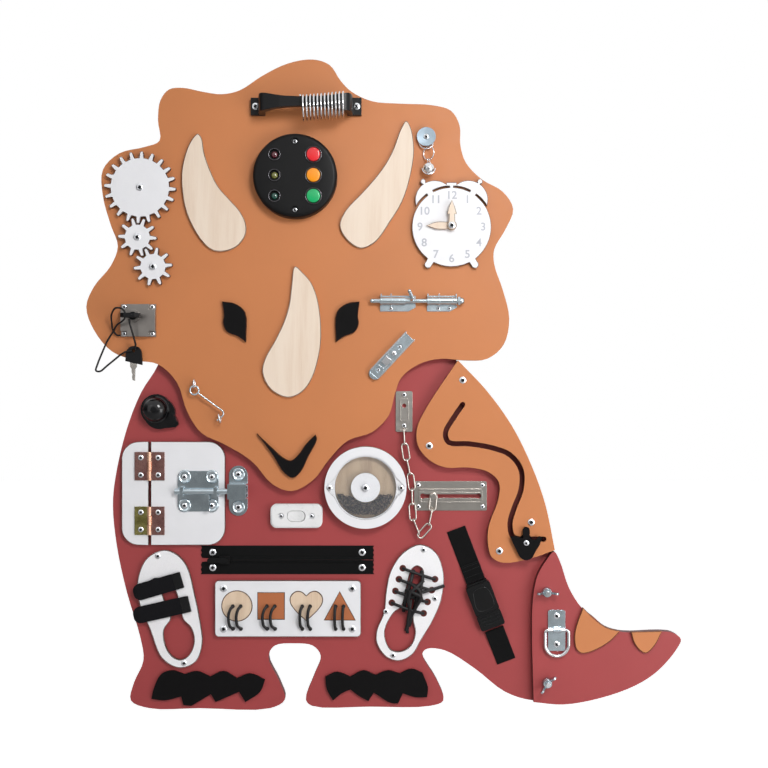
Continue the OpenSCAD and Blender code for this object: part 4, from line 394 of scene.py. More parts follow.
for colour, rgb in (("red", (226, 36, 44)), ("amber", (255, 150, 14)), ("green", (18, 168, 98))):
    f = plastic("button_" + colour, rgb, 0.16, 0.04, Coat_Weight=0.6, Subsurface_Weight=0.2)
    # painted glow: the push buttons are no lamps, yet they give off a little light of their own colour
    f.b.inputs["Emission Color"].default_value = linear(rgb)
    f.b.inputs["Emission Strength"].default_value = 0.18
    M["button_" + colour] = f
for colour, rgb in (("red", (92, 26, 40)), ("olive", (112, 112, 44)), ("green", (16, 74, 62))):
    M["lens_" + colour] = plastic("lens_" + colour, rgb, 0.08, 0.02, Coat_Weight=1.0)
clear = Finish("clear_window", (235, 240, 244), 0.05)
clear.b.inputs["Alpha"].default_value = 0.05
clear.b.inputs["Specular IOR Level"].default_value = 0.25
clear.roughness(clear.noise(60, 3), 0.03, 0.08)
M["clear"] = clear
beads = Finish("loose_granules", (48, 40, 42), 0.4)
beads.colour(beads.ramp(beads.cells(420, out="Color"), (0.35, (20, 14, 15)), (0.62, (42, 32, 32)),
                        (0.8, (128, 108, 102))))
M["beads"] = beads.bump(beads.noise(1500, 2), 0.3, 0.0002)
groove = Finish("groove_shade", (92, 28, 24), 0.7)
groove.colour(groove.ramp(groove.noise(200, 3), (0.3, (84, 22, 18)), (0.7, (104, 32, 27))))
M["groove"] = groove


# ---- mesh making, all in millimetres: right, up, out of the wall ----

def grid_faces(rows, cols, closed=True, start=0):
    """Faces between rows of points, each row a ring if closed."""
    wide = cols if closed else cols - 1
    return [(start + r * cols + c, start + r * cols + (c + 1) % cols,
             start + (r + 1) * cols + (c + 1) % cols, start + (r + 1) * cols + c)
            for r in range(rows - 1) for c in range(wide)]


def turned(profile, sides=40):
    """A turned piece: (radius, height) points about the third axis, closed where the radius is 0."""
    a = np.arange(sides) * 2 * math.pi / sides
    v = [(max(r, 1e-4) * math.cos(t), max(r, 1e-4) * math.sin(t), z) for r, z in profile for t in a]
    return np.array(v), grid_faces(len(profile), sides)


def screw_head(r, h, sides=32):
    """Domed head with a cross recess: its points, the faces of the dome, and those of the recess."""
    rings = [1.0, 0.97, 0.88, 0.74, 0.6, 0.52, 0.44, 0.35, 0.26, 0.18, 0.09, 0.0]
    v, sunk = [], []
    for k in rings:
        for i in range(sides):
            t = 2 * math.pi * i / sides
            x, y = max(k, 1e-4) * math.cos(t), max(k, 1e-4) * math.sin(t)
            z = 0.0 if k == 1.0 else math.sqrt(max(0, 1 - (k * 0.97) ** 2)) * 0.75 + 0.25
            deep = max(abs(x), abs(y)) < 0.5 and min(abs(x), abs(y)) < 0.19
            sunk.append(deep)
            v.append((x * r, y * r, (z - (0.85 if deep else 0)) * h))
    faces = grid_faces(len(rings), sides)
    return np.array(v), [f for f in faces if not any(sunk[i] for i in f)], \
        [f for f in faces if any(sunk[i] for i in f)]


def box(x0, y0, z0, x1, y1, z1):
    v = np.array([(x, y, z) for z in (z0, z1) for x, y in ((x0, y0), (x1, y0), (x1, y1), (x0, y1))], float)
    return v, [(3, 2, 1, 0), (4, 5, 6, 7), (0, 1, 5, 4), (1, 2, 6, 5), (2, 3, 7, 6), (3, 0, 4, 7)]


def sheet_of(outline, z0, z1):
    """A flat piece with that outline."""
    n = len(outline)
    v = np.array([(x, y, z) for z in (z0, z1) for x, y in outline], float)
    return v, [tuple(range(n))[::-1], tuple(range(n, 2 * n))] + [(i, (i + 1) % n, n + (i + 1) % n, n + i)
                                                                for i in range(n)]


def moved(part, x=0.0, y=0.0, z=0.0, turn=0.0, tilt=0.0):
    v, faces = part
    t, s = math.radians(turn), math.radians(tilt)
    v = v @ np.array([[1, 0, 0], [0, math.cos(s), math.sin(s)], [0, -math.sin(s), math.cos(s)]])
    v = v @ np.array([[math.cos(t), math.sin(t), 0], [-math.sin(t), math.cos(t), 0], [0, 0, 1]])
    return v + np.array([x, y, z]), faces


def joined(parts):
    v, faces, n = [], [], 0
    for p, f in parts:
        v.append(p)
        faces += [tuple(i + n for i in face) for face in f]
        n += len(p)
    return np.concatenate(v), faces


def soften(mesh, angle=0.6):
    b = bmesh.new()
    b.from_mesh(mesh)
    bmesh.ops.recalc_face_normals(b, faces=b.faces)
    for face in b.faces:
        face.smooth = True
    for e in b.edges:
        e.smooth = len(e.link_faces) == 2 and e.calc_face_angle(0) < angle
    b.to_mesh(mesh)
    b.free()


def piece(name, part, finish, body=BOARD, replaces=(), frame_at=None, angle=0.6):
    """A new mesh from points in millimetres. frame_at is (x, y, turn) of the piece's own frame."""
    v, faces = part
    mesh = bpy.data.meshes.new(name)
    mesh.from_pydata([tuple(p) for p in to_row(v)], [], faces)
    soften(mesh, angle)
    mesh.materials.append(M[finish].m)
    o = bpy.data.objects.new(name, mesh)
    scene.collection.objects.link(o)
    if frame_at:
        x, y, turn = frame_at
        o.matrix_world = Matrix.Translation(at(x, y)) @ Matrix.Rotation(-math.radians(turn), 4, "Y")
    if body:
        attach(o, body)
    if replaces:
        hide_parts(*replaces)
    return o


def smooth_line(points, steps=6):
    """The part's own curve through its points."""
    p = [np.array(q, float) for q in points]
    out = []
    for i in range(len(p) - 1):
        b, c = p[i], p[i + 1]
        a = 2 * b - c if i == 0 else p[i - 1]
        d = 2 * c - b if i == len(p) - 2 else p[i + 2]

        def handle(a, b, c):
            e, f = math.sqrt(np.linalg.norm(b - a)), math.sqrt(np.linalg.norm(c - b))
            return (e * e * c - f * f * a + (2 * e * e + 3 * e * f + f * f) * b) / (3 * e * (e + f))

        h, g = handle(a, b, c), handle(d, c, b)
        for j in range(steps):
            t = j / steps
            out.append((1 - t) ** 3 * b + 3 * t * (1 - t) ** 2 * h + 3 * t * t * (1 - t) * g + t ** 3 * c)
    return np.array(out + [p[-1]])


def tube(line, d, sides=10):
    """Round tube along points, with closed ends."""
    line = np.asarray(line, float)
    way = np.gradient(line, axis=0)
    way /= np.linalg.norm(way, axis=1)[:, None]
    side = np.cross(way[0], [0.3, 0.2, 1.0])
    v = []
    for p, w in zip(line, way):
        side = side - w * (side @ w)
        side /= np.linalg.norm(side)
        up = np.cross(w, side)
        v += [p + (side * math.cos(t) + up * math.sin(t)) * d / 2
              for t in np.arange(sides) * 2 * math.pi / sides]
    n = len(line) * sides
    return np.array(v), grid_faces(len(line), sides) + [tuple(range(sides)), tuple(range(n - sides, n))[::-1]]


def length_of(line):
    return float(np.linalg.norm(np.diff(line, axis=0), axis=1).sum())


# ---- cords: the lock's key cord, the laces and the loops of the shape pieces ----

def cord(name, points, d, replaces):
    line = smooth_line(points, 8)
    o = piece(name, tube(line, d, 10), "cord", replaces=replaces, angle=1.4)
    return o


KEY_TAIL = [
    (-334, 61.5, 28), (-338, 62, 27), (-343, 68, 28), (-344, 78, 32), (-342, 88, 40), (-335, 95, 48),
    (-327, 94, 50.5), (-323.5, 90, 50), (-323.5, 86, 50), (-323.5, 82, 50), (-328, 78, 47),
    (-336, 74, 38), (-343, 65, 31), (-350, 55, 28), (-357, 40, 27), (-363, 25, 27), (-365, 17, 27),
    (-360, 16, 27), (-351, 23, 27), (-340, 32, 27), (-332, 38, 29), (-325, 41, 31.5), (-318, 42, 32),
]
KEY_STRAND = [
    (-314, 44, 32.5), (-313, 50, 36), (-314, 58, 41), (-316, 68, 45), (-318, 76, 46.5), (-318.5, 81.5, 47),
]
cord("key_cord_loop", KEY_TAIL, 2.4, ["key_cords"])
cord("key_cord_strand", KEY_STRAND, 2.4, ["key_cords"])

TETHER = [
    (0, 0, 0.2), (0, 0, 2.5), (-2.6, -3, 5), (-4.8, -10, 6), (-5, -18, 5.5), (-3.4, -25, 4.5),
    (0.8, -28.6, 2.5), (0.8, -28.8, 0.2),
]
BULGE = (1.0, 1.05, 0.6, 0.25)       # how far each shape's cords swing out to the left
CORD_D = 3.8
SHAPE_X, SHAPE_Y, PLATE_Z = (-187.5, -144.0, -99.0, -56.5), -283.0, 18.0
for k, x in enumerate(SHAPE_X):
    for side, dx in enumerate((-5, 5)):
        cord(f"tether_{k}_{side}", [(x + dx + a * BULGE[k], SHAPE_Y + b, PLATE_Z + c) for a, b, c in TETHER],
             CORD_D, ["cords_and_laces"])
LACE_D = 4.0
LACES = [
    [(24, -235, 17), (27, -236, 19.5), (44, -242, 20.5), (62, -248, 19.5), (65, -249, 17)],
    [(19, -249, 17), (22, -250, 20), (40, -256, 23), (58, -262, 20), (61, -263, 17)],
    [(14.5, -264, 17), (17, -265, 19.5), (35, -271, 20.5), (52, -277, 19.5), (55.5, -278, 17)],
    [(10, -279, 17), (13, -280, 20), (30, -286, 23), (47, -291.5, 20), (50.5, -292.5, 17)],
    [(32, -272, 23.5), (40, -268, 24), (52, -264, 22), (64, -261, 20), (77, -257, 19)],
    [(34, -274, 23.5), (33, -284, 25), (31, -296, 21), (30, -308, 16), (30, -318, 14)],
]
for k, points in enumerate(LACES):
    cord(f"lace_{k}", points, LACE_D, ["cords_and_laces"])
KNOT = [
    [(38, -238, 15), (35.5, -246, 21), (32, -258, 23.5), (28.5, -270, 23.5), (26, -281, 20), (25, -290, 15)],
    [(48, -239, 15), (49, -247, 21), (46.5, -258, 23.5), (43, -270, 23.5), (39.5, -282, 20), (38, -290, 15)],
    [(31, -252, 23), (38, -256, 27), (45, -262, 28.5), (46, -272, 27), (40, -284, 24), (33, -300, 17.5),
     (28, -315, 14.8)],
    [(50, -250, 22), (43, -256, 27.5), (34, -264, 28.5), (31, -274, 27), (33, -286, 23), (34, -300, 17.5),
     (32, -309, 14.8)],
    [(28, -262, 21), (36, -264, 29), (45, -268, 29), (48, -275, 22)],
]
for k, points in enumerate(KNOT):
    cord(f"knot_{k}", points, LACE_D + 0.8, ["cords_and_laces"])


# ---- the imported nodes: a finish for each, split where one node has several ----

SCREWS = [
    (-162.5, 351, 30, 9), (-34.5, 351, 30, 9), (-112, 305, 38, 7), (-112, 219, 38, 7), (53.5, 313, 30, 7),
    (9, 96, 25.5, 5), (69, 96, 25.5, 5), (83, 96, 25.5, 5), (-7, 17.9, 25.5, 5), (20.3, 47.2, 25.5, 5),
    (-328.8, 63.5, 28, 6), (-328.8, 97.5, 28, 6), (-293.3, 63.5, 28, 6), (-293.3, 97.5, 28, 6),
    (100, 5, 24, 9), (57.5, -78.5, 24, 9), (187, -175.5, 24, 9), (146.5, -212, 24, 9),
    (-288.5, -219.5, 17, 7), (-255, -356, 17, 7), (50.5, -211.5, 17, 7), (2.5, -290, 17, 7),
    (65, -273.5, 17, 7), (11.5, -346, 17, 7), (-219, -234.8, 13, 9), (-219, -215.3, 13, 9),
    (-28, -234.8, 13, 9), (-28, -215.3, 13, 9), (-204.5, -312.3, 18, 9), (-204.5, -260.8, 18, 9),
    (-40.5, -312.3, 18, 9), (-40.5, -260.8, 18, 9), (-309.7, -115.8, 19.5, 7), (-309.7, -93.8, 19.5, 7),
    (-309.7, -185.3, 19.5, 7), (-309.7, -163.3, 19.5, 7), (-186.3, -115.5, 13.5, 8),
    (-186.3, -157.5, 13.5, 8), (-131, -168, 19, 6), (-92, -168, 19, 6), (25.7, -13.7, 13.5, 6),
    (25.7, -53.2, 13.5, 6), (44, -156.8, 13.5, 6), (44, -129.3, 13.5, 6), (126, -156.8, 13.5, 6),
    (126, -129.3, 13.5, 6), (219, -294, 26, 8), (219, -330, 26, 8),
    (-308.5, 248.5, 31.3, 9), (-311.8, 185.6, 31.3, 9), (-292.1, 148.5, 31.3, 9), (85.5, 200, 37.6, 9),
    (-23.5, -131.5, 27.3, 9),
]                                    # right, up, out and width of each head on the board
DOOR_SCREW_Z, DOOR_SCREW_D = 19.5, 7
DOOR_SCREWS = [
    (-287.6, -115.8), (-287.6, -93.8), (-287.6, -185.3), (-287.6, -163.3), (-254.2, -154.8),
    (-254.2, -118.2), (-219.2, -154.8), (-219.2, -118.2),
]
WHEEL, EAR = (-23.5, -131.5), 45.5   # the wheel's middle, and how far its window's screws are from it
WHEEL_SCREWS = [(WHEEL[0] + side * EAR, WHEEL[1], 27, 7) for side in (-1, 1)]
FIGURE_SCREW = (180, -201, 30.5, 7)


def islands(node):
    """The separate solids of a CAD node as (middle in mm, size in mm, bmesh faces)."""
    b = bmesh.new()
    b.from_mesh(frame["nodes"][node].data)
    bmesh.ops.remove_doubles(b, verts=b.verts, dist=2e-6)
    b.faces.ensure_lookup_table()
    left, found = dict.fromkeys(b.faces), []   # ordered, unlike a set
    while left:
        todo, group = [left.popitem()[0]], []
        while todo:
            face = todo.pop()
            group.append(face)
            for v in face.verts:
                for other in v.link_faces:
                    if other in left:
                        del left[other]
                        todo.append(other)
        pts = np.array([v.co for face in group for v in face.verts]) * 1000
        low, high = pts.min(0), pts.max(0)
        mid, size = (low + high) / 2, high - low
        found.append(((mid[0], mid[2], -mid[1]), (size[0], size[2], size[1]), group))
    return b, found


BODY_OF = {n: body for body, nodes in frame["record"]["behaviour"]["bodies"].items() for n in nodes}


DOMED = ["fasteners", "door_hardware", "door_frame_hardware", "maze_figure", "wheel_ring", "wheel_window"]
ON_DOOR = [(x, y, DOOR_SCREW_Z, DOOR_SCREW_D) for x, y in DOOR_SCREWS]
DOMES = SCREWS + ON_DOOR + WHEEL_SCREWS + [FIGURE_SCREW]
PARED = 0.05                         # what is left of a dome under the scene's own head


def flatten_domes(mesh):
    """Lowers the plain screw domes, to leave room for the heads with their recess."""
    for v in mesh.vertices:
        x, y, z = v.co.x * 1000, v.co.z * 1000, -v.co.y * 1000
        for sx, sy, base, d in DOMES:
            if z > base + PARED and math.hypot(x - sx, y - sy) < d / 2 + 0.3:
                v.co.y = -(base + PARED) / 1000


WINDOW_BACK = -0.0252                # metres, a hair off the hub that the window lies on


def dress(node, choose):
    """Shows a node's solids as pieces, each with the finish that choose(middle, size) names."""
    b, found = islands(node)
    chosen = {}
    for mid, size, group in found:
        chosen.setdefault(choose(mid, size), []).extend(group)
    for finish, faces in chosen.items():
        verts = {v: i for i, v in enumerate(dict.fromkeys(v for face in faces for v in face.verts))}
        mesh = bpy.data.meshes.new(f"{node}_{finish}")
        mesh.from_pydata([tuple(v.co) for v in verts], [], [[verts[v] for v in face.verts] for face in faces])
        if node == "wheel_window":
            for v in mesh.vertices:
                v.co.y = min(v.co.y, WINDOW_BACK)
        if node in DOMED:
            flatten_domes(mesh)
        soften(mesh)
        mesh.materials.append(M[finish].m)
        o = bpy.data.objects.new(f"{node}_{finish}", mesh)
        scene.collection.objects.link(o)
        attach(o, BODY_OF[node])
        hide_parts(node)
    b.free()


def glued(mid, size):
    if mid[2] < FACE_Z or -180 < mid[0] < -60 and mid[1] < -50:
        return "black_wood"
    if mid[0] > 200:
        return "orange"
    return "black_wood" if size[0] < 35 and size[1] < 56 and 50 < mid[1] < 110 else "horn"


def fixed_metal(mid, size):
    if mid[0] > 200:
        return "zinc"
    if mid[1] < 0:
        return "nickel"
    return "dull" if mid[0] < -200 else "zinc"


SPLIT = {
    "fasteners": lambda mid, size: "washer" if size[0] > 14 else "steel",
    "glued_shapes": glued,
    "fixed_metalwork": fixed_metal,
    "door_frame_hardware": lambda mid, size: "zinc" if mid[0] > -220 else "bronze",
    "door_hardware": lambda mid, size: "bronze" if mid[0] < -270 and size[1] > 20 else "zinc",
    "lock_key": lambda mid, size: "dull" if mid[2] < 36 else "black",
    "spare_key": lambda mid, size: "nickel" if mid[1] < 22 else "black",
}
FINISHES = {
    "orange": ["head_panel", "maze_panel"],
    "red": ["body_panel", "tail_panel"],
    "piece_dark": ["shape_square", "shape_triangle"],
    "piece": ["shape_circle", "shape_heart"],
    "horn": ["hour_hand", "minute_hand"],
    "disc": ["wheel_drum"],
    "white": ["clock_face", "gear_large", "gear_middle", "gear_small", "door_strip", "door_leaf", "shape_plate",
              "wheel_ring"],
    "white_moulded": ["switch_housing", "switch_rocker"],
    "shoe": ["shoe_plates"],
    "black": ["pull_handle"],
    "black_wood": ["maze_figure"],
    "matte_black": ["lamp_housing", "buckle_socket", "buckle_plug", "zipper_slider"],
    "gloss_black": ["bike_bell", "bike_bell_lever"],
    "zinc": ["barrel_bolt_rod", "pad_bolt_rod", "cabin_hook", "wing_nut_upper", "wing_nut_lower"],
    "bright": ["bell_rings", "jingle_bell", "slide_latch_thumb", "lashing_ring"],
    "nickel": ["chain_links", "chain_slider"],
    "clear": ["wheel_window"],
    "button_red": ["red_button"],
    "button_amber": ["yellow_button"],
    "button_green": ["green_button"],
}
for node, choose in SPLIT.items():
    dress(node, choose)
for finish, nodes in FINISHES.items():
    for node in nodes:
        dress(node, lambda mid, size: finish)


# ---- screw heads with their cross recess, painted dark as shade in the hollow ----

def heads(name, screws, body=BOARD, high=1.6):
    dome, recess = [], []
    for i, (x, y, z, d) in enumerate(screws):
        v, shell, cross = screw_head(d / 2 + 0.05, high + 0.12)
        for part, faces in ((dome, shell), (recess, cross)):
            used = sorted({k for f in faces for k in f})
            new = {k: j for j, k in enumerate(used)}
            part.append(moved((v[used], [tuple(new[k] for k in f) for f in faces]), x, y, z, 17 + 37 * i))
    piece(name + "_heads", joined(dome), "steel", body, angle=0.5)
    # the recess faces take the near-black finish, as painted shade
    piece(name + "_recess_shades", joined(recess), "recess", body, angle=0.5)


heads("screw", SCREWS[:-5])
heads("pivot", SCREWS[-5:-1], high=2.0)
heads("wheel_bolt", SCREWS[-1:], high=2.0)
heads("door_screw", ON_DOOR, "door")
heads("wheel_screw", WHEEL_SCREWS, "sand_wheel")
heads("figure_screw", [FIGURE_SCREW], "maze_figure")


# ---- knots and eyelets of the cords, the groove's floor, burnt rims round the shape pockets; the eyelets, the groove's floor and the pocket gaps are painted shade ----

def overhand(x, y, z, turn=0.0):
    """A small pulled knot at a cord's end."""
    a = np.linspace(0, 3.4 * math.pi, 34)
    line = np.stack([1.25 * np.cos(a), 1.25 * np.sin(a), 1.9 * a / a[-1] - 0.4], 1)
    return moved(tube(line, 2.3, 8), x, y, z, turn)


ends = []
for k, x in enumerate(SHAPE_X):
    for dx in (-5, 5):
        ends += [overhand(x + dx + a * BULGE[k] * 0.3, SHAPE_Y + b, PLATE_Z + 1.6, 40 * k)
                 for a, b, c in (TETHER[0], TETHER[-1])]
piece("tether_knots", joined(ends), "cord", angle=1.4)
eyelet = turned([(4.3, 0.0), (4.2, 0.1), (3.9, 0.1), (3.6, 0.04), (0, 0.04)], 28)
piece("eyelet_shades", joined([moved(eyelet, *points[end][:2], 17) for points in LACES[:4] for end in (0, -1)]),
      "groove")
GROOVE = [
    (100, -26), (89, -42), (78, -62), (82, -74), (108, -76), (137, -81), (160, -90), (174, -109), (174, -134),
    (165, -158), (160, -177), (163, -193), (170, -196.5), (178, -197), (191, -197), (203, -197),
]


def ribbon(points, wide, z):
    """A flat strip along a line."""
    line = smooth_line(points, 6)
    way = np.gradient(line, axis=0)
    way /= np.linalg.norm(way, axis=1)[:, None]
    left = np.stack([-way[:, 1], way[:, 0]], 1) * wide / 2
    v = [(*p, z) for p in np.concatenate([line + left, line - left])]
    n = len(line)
    return np.array(v), [(i, i + 1, n + i + 1, n + i) for i in range(n - 1)]


piece("groove_floor", ribbon(GROOVE, 10.5, BODY_Z + 0.15), "groove")


def front_rim(node):
    """The edges round a node's front face, as chains of points in millimetres."""
    b, found = islands(node)
    front = min(v.co.y for v in b.verts)
    edges = [e for e in b.edges if all(abs(v.co.y - front) < 1e-5 for v in e.verts)
             and sum(abs(f.normal.y) > 0.9 for f in e.link_faces) == 1]
    after = {}
    for e in edges:
        for v, w in (tuple(e.verts), tuple(e.verts)[::-1]):
            after.setdefault(v.index, []).append(w.index)
    place = {v.index: (v.co.x * 1000, v.co.z * 1000, -v.co.y * 1000) for v in b.verts}
    b.free()
    chains = []
    while after:
        first = next(iter(after))
        chain, here = [first], first
        while True:
            onward = [w for w in after.pop(here) if w in after]
            if not onward:
                break
            here = onward[0]
            chain.append(here)
        chains.append([place[i] for i in chain + [first]])
    return chains


def area(p):
    """Signed area inside a chain of points."""
    return float(np.sum(p[:-1, 0] * p[1:, 1] - p[1:, 0] * p[:-1, 1])) / 2


def edge_lines(node, wide, wanted=lambda p: True):
    """Thin lines along the edges of a node's front face, on the side of the wood."""
    chains = [np.array(c) for c in front_rim(node)]
    lines = []
    for p in chains:
        holes = [q for q in chains if q is not p and (q[:, :2].min(0) < p[:, :2].min(0)).all()
                 and (q[:, :2].max(0) > p[:, :2].max(0)).all()]
        if len(p) < 4 or not wanted(p):
            continue
        q = p[:-1]
        way = np.roll(q, -1, 0) - np.roll(q, 1, 0)
        way /= np.maximum(np.linalg.norm(way, axis=1), 1e-6)[:, None]
        left = np.stack([-way[:, 1], way[:, 0], 0 * way[:, 0]], 1)
        toward = (1 if area(p) > 0 else -1) * (-1 if holes else 1)
        q = q + left * toward * wide * 0.5 + np.array([0, 0, 0.02 - wide * 0.3])
        lines.append(tube(np.concatenate([q, q[:1]]), wide, 6))
    return lines


# dark rings round the shape pieces: partly their burnt pocket walls, partly painted shade in the gaps
pockets = []
for node in ("shape_circle", "shape_square", "shape_heart", "shape_triangle"):
    for chain in front_rim(node):
        p = np.array(chain)
        middle = p.mean(0)
        p[:, :2] += (p[:, :2] - middle[:2]) * 0.012
        p[:, 2] = PLATE_Z + 0.05
        pockets.append(tube(p, 0.9, 6))
piece("pocket_rims_and_gap_shade", joined(pockets), "burnt", angle=1.4)
for node, wide in (("glued_shapes", 0.9), ("shoe_plates", 0.8), ("gear_large", 0.6), ("gear_middle", 0.6),
                   ("gear_small", 0.6), ("clock_face", 0.6), ("door_leaf", 0.6), ("door_strip", 0.6),
                   ("wheel_ring", 0.7), ("shape_plate", 0.6), ("hour_hand", 0.7), ("minute_hand", 0.7)):
    piece(node + "_edge", joined(edge_lines(node, wide)), "seared", BODY_OF[node], angle=1.4)

# ---- slide latch's bright rails, the rim of its slot and its stamped dome ----

LATCH = (8, 34, 47)
rails = [box(-28, side * 7.1 - 0.7, 28.9, 37.6, side * 7.1 + 0.7, 29.3) for side in (-1, 1)]
slot_rim = [(-16.5, -3.8, 27.7), (1.5, -3.8, 27.7), (1.5, 3.8, 27.7), (-16.5, 3.8, 27.7), (-16.5, -3.8, 27.7)]
dome = turned([(3.4, 0.0), (3.3, 0.5), (2.7, 1.1), (1.5, 1.45), (0, 1.55)], 28)
piece("latch_rails", joined(rails + [tube(slot_rim, 0.7, 6), moved(dome, 6.8, 0, 27.6)]), "bright", BOARD,
      frame_at=LATCH)


# ---- pull handle's spring ----

SPRING = dict(right=-48.5, y=346.86, z=24 + 26 + 4, r=14.8 + 1.1, wire=2.2, turns=12, reach=53.8, tilt=4)


def spring():
    s, per = SPRING, 40
    a = np.arange(s["turns"] * per + 1) * 2 * math.pi / per
    line = np.stack([-s["wire"] / 2 - s["reach"] * a / a[-1], s["r"] * np.cos(a), s["r"] * np.sin(a)], 1)
    return moved(tube(line, s["wire"], 10), s["right"], s["y"], s["z"], s["tilt"])


spring_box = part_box("coil_spring")
part = spring()
low = to_row(part[0]).min(0)
shift = np.array([spring_box[0][i] - low[i] for i in range(3)]) * 1000
piece("spring_coil", (part[0] + np.array([shift[0], shift[2], -shift[1]]), part[1]), "bright", "coil_spring",
      ["coil_spring"], angle=1.4)


# ---- lamp: lens domes and bezels ----

LAMP, LIGHT_X, BUTTON_X, PITCH, LAMP_Z = (-112, 262), -25.5, 23.5, 26, 42
for k, colour in ((-1, "green"), (0, "olive"), (1, "red")):
    dome = turned([(4.15, -2.4), (4.15, -1.4), (3.9, -0.6), (3.1, 0.2), (1.8, 0.7), (0, 0.9)], 28)
    piece(f"lamp_lens_{colour}", moved(dome, LAMP[0] + LIGHT_X, LAMP[1] + k * PITCH, LAMP_Z), "lens_" + colour)
rims = []
for k in (-1, 0, 1):
    for x, r in ((LIGHT_X, 7.2), (BUTTON_X, 10.0)):
        a = np.linspace(0, 2 * math.pi, 41)
        ring = np.stack([r * np.cos(a), r * np.sin(a), 0 * a], 1)
        rims.append(moved(tube(ring, 1.1, 6), LAMP[0] + x, LAMP[1] + k * PITCH, LAMP_Z + 1.0))
piece("lamp_bezels", joined(rims), "bezel", angle=1.4)


# ---- clock numbers ----

def number(text, x, y, size):
    curve = bpy.data.curves.new("n" + text, "FONT")
    curve.body, curve.size = text, size
    curve.align_x, curve.align_y = "CENTER", "CENTER"
    curve.extrude = 0.05
    curve.offset = 0.22
    o = bpy.data.objects.new("n" + text, curve)
    scene.collection.objects.link(o)
    bpy.context.view_layer.update()
    mesh = bpy.data.meshes.new_from_object(o)
    v = np.array([p.co for p in mesh.vertices], float) + np.array([x, y, 0])
    faces = [tuple(f.vertices) for f in mesh.polygons]
    bpy.data.objects.remove(o)
    bpy.data.meshes.remove(mesh)
    return v, faces


CLOCK = (85.5, 198.5)
dial = []
for hour in range(1, 13):
    a = math.radians(90 - 30 * hour)
    dial.append(number(str(hour), CLOCK[0] + 40 * math.cos(a), CLOCK[1] + 40 * math.sin(a), 14))
piece("clock_numbers", moved(joined(dial), 0, 0, 30.03), "grey_print")


# ---- sand wheel: granules ----

random.seed(7)


def granules():
    ico = bmesh.new()
    bmesh.ops.create_icosphere(ico, subdivisions=1, radius=1)
    v = np.array([p.co for p in ico.verts])
    faces = [tuple(p.index for p in f.verts) for f in ico.faces]
    ico.free()
    parts, step = [], 2.15
    for z in (18.8, 21.2, 23.4):
        for i in range(-18, 19):
            for j in range(-18, 2):
                x = (i + (j % 2) / 2) * step + random.uniform(-0.5, 0.5)
                y = j * step * 0.87 + random.uniform(-0.5, 0.5)
                top = -10.5 + 1.2 * math.sin(x / 9) + (1.6 if abs(x) > 28 else 0)
                if 19.9 < math.hypot(x, y) < 37.0 and y < top:
                    r = random.uniform(0.85, 1.15)
                    parts.append((v * r + np.array([x, y, z + random.uniform(-0.15, 0.1)]), faces))
    return joined(parts)


piece("wheel_beads", moved(granules(), *WHEEL), "beads", replaces=["wheel_granules"], angle=3)


# ---- zipper: pinked tapes and coil teeth ----

ZIP, ZIP_LEN, ZIP_W, SLIDER_X = (-123.5, -225.0), 222.0, 36.5, -81.0


def tape(side):
    """One of the two tapes, its ends cut with pinking shears."""
    x0, x1, wide = -ZIP_LEN / 2, ZIP_LEN / 2, ZIP_W / 2
    gap = 0.35
    steps = 6
    right = [(x1 - (1.6 if i % 2 else 0.1), gap + (wide - gap) * i / steps) for i in range(steps + 1)]
    left = [(x0 + (1.6 if i % 2 else 0.1), gap + (wide - gap) * i / steps) for i in range(steps, -1, -1)]
    split = [(x0 + 2, 2.6), (x0 + 14, 1.9), (SLIDER_X - 6, gap)]
    outline = left[:-1] + split + right
    return [(x, side * y) for x, y in (outline if side > 0 else outline[::-1])]


def teeth():
    parts, x, k = [], SLIDER_X + 6, 0
    while x < ZIP_LEN / 2 - 17:
        shift = 0.55 if k % 2 else -0.55
        parts.append(box(x, -1.9 + shift, 0.9, x + 0.95, 1.9 + shift, 2.5))
        x += 1.3
        k += 1
    for side in (-1, 1):
        parts.append(tube(smooth_line([(SLIDER_X + 6, side * 2.6, 1.2), (0, side * 2.6, 1.2),
                                       (ZIP_LEN / 2 - 17, side * 2.6, 1.2)], 12), 1.1, 8))
        x = -ZIP_LEN / 2 + 15
        while x < SLIDER_X - 6:
            y = side * (2.3 - 1.4 * (x + ZIP_LEN / 2 - 15) / 16)
            parts.append(box(x, y - 0.9, 0.9, x + 0.9, y + 0.9, 2.3))
            x += 1.3
    return joined(parts)


frame_zip = (ZIP[0], ZIP[1], 0)
for name, side in (("upper", 1), ("lower", -1)):
    o = piece("zipper_tape_" + name, moved(sheet_of(tape(side), 0.02, 0.9), 0, 0, BODY_Z), "tape",
              replaces=["zipper_tape"], frame_at=frame_zip)
piece("zipper_teeth", moved(teeth(), 0, 0, BODY_Z), "matte_black", frame_at=frame_zip)


# ---- pad bolt's pressed dishes, and threads of the studs ----

DISH = turned([(8.6, -0.1), (8.2, 0.35), (7.5, 0.85), (6.9, 0.95), (6.2, 0.7), (5.4, 0.2), (4.9, 0.1), (0, 0.1)], 40)
piece("pad_dishes", joined([moved(DISH, x, y, DOOR_SCREW_Z) for x, y in DOOR_SCREWS[4:]]), "zinc", "door",
      angle=0.9)
piece("keeper_dishes", joined([moved(DISH, -186.3, y, 13.5) for y in (-115.5, -157.5)]), "zinc",
      angle=0.9)


def thread(x, y, low, high, d, pitch=1.0):
    n = int((high - low) / pitch * 16)
    a = np.arange(n) * 2 * math.pi / 16
    line = np.stack([x + d / 2 * np.cos(a), y + d / 2 * np.sin(a), low + (high - low) * np.arange(n) / n], 1)
    return tube(line, pitch * 0.45, 5)


piece("stud_threads", joined([thread(206.5, -264, 33, 38.6, 5.9), thread(207, -379, 33, 38.6, 5.9)]), "zinc",
      angle=1.4)

# ---- webbing strap, touch straps, and the buckle's ribs ----

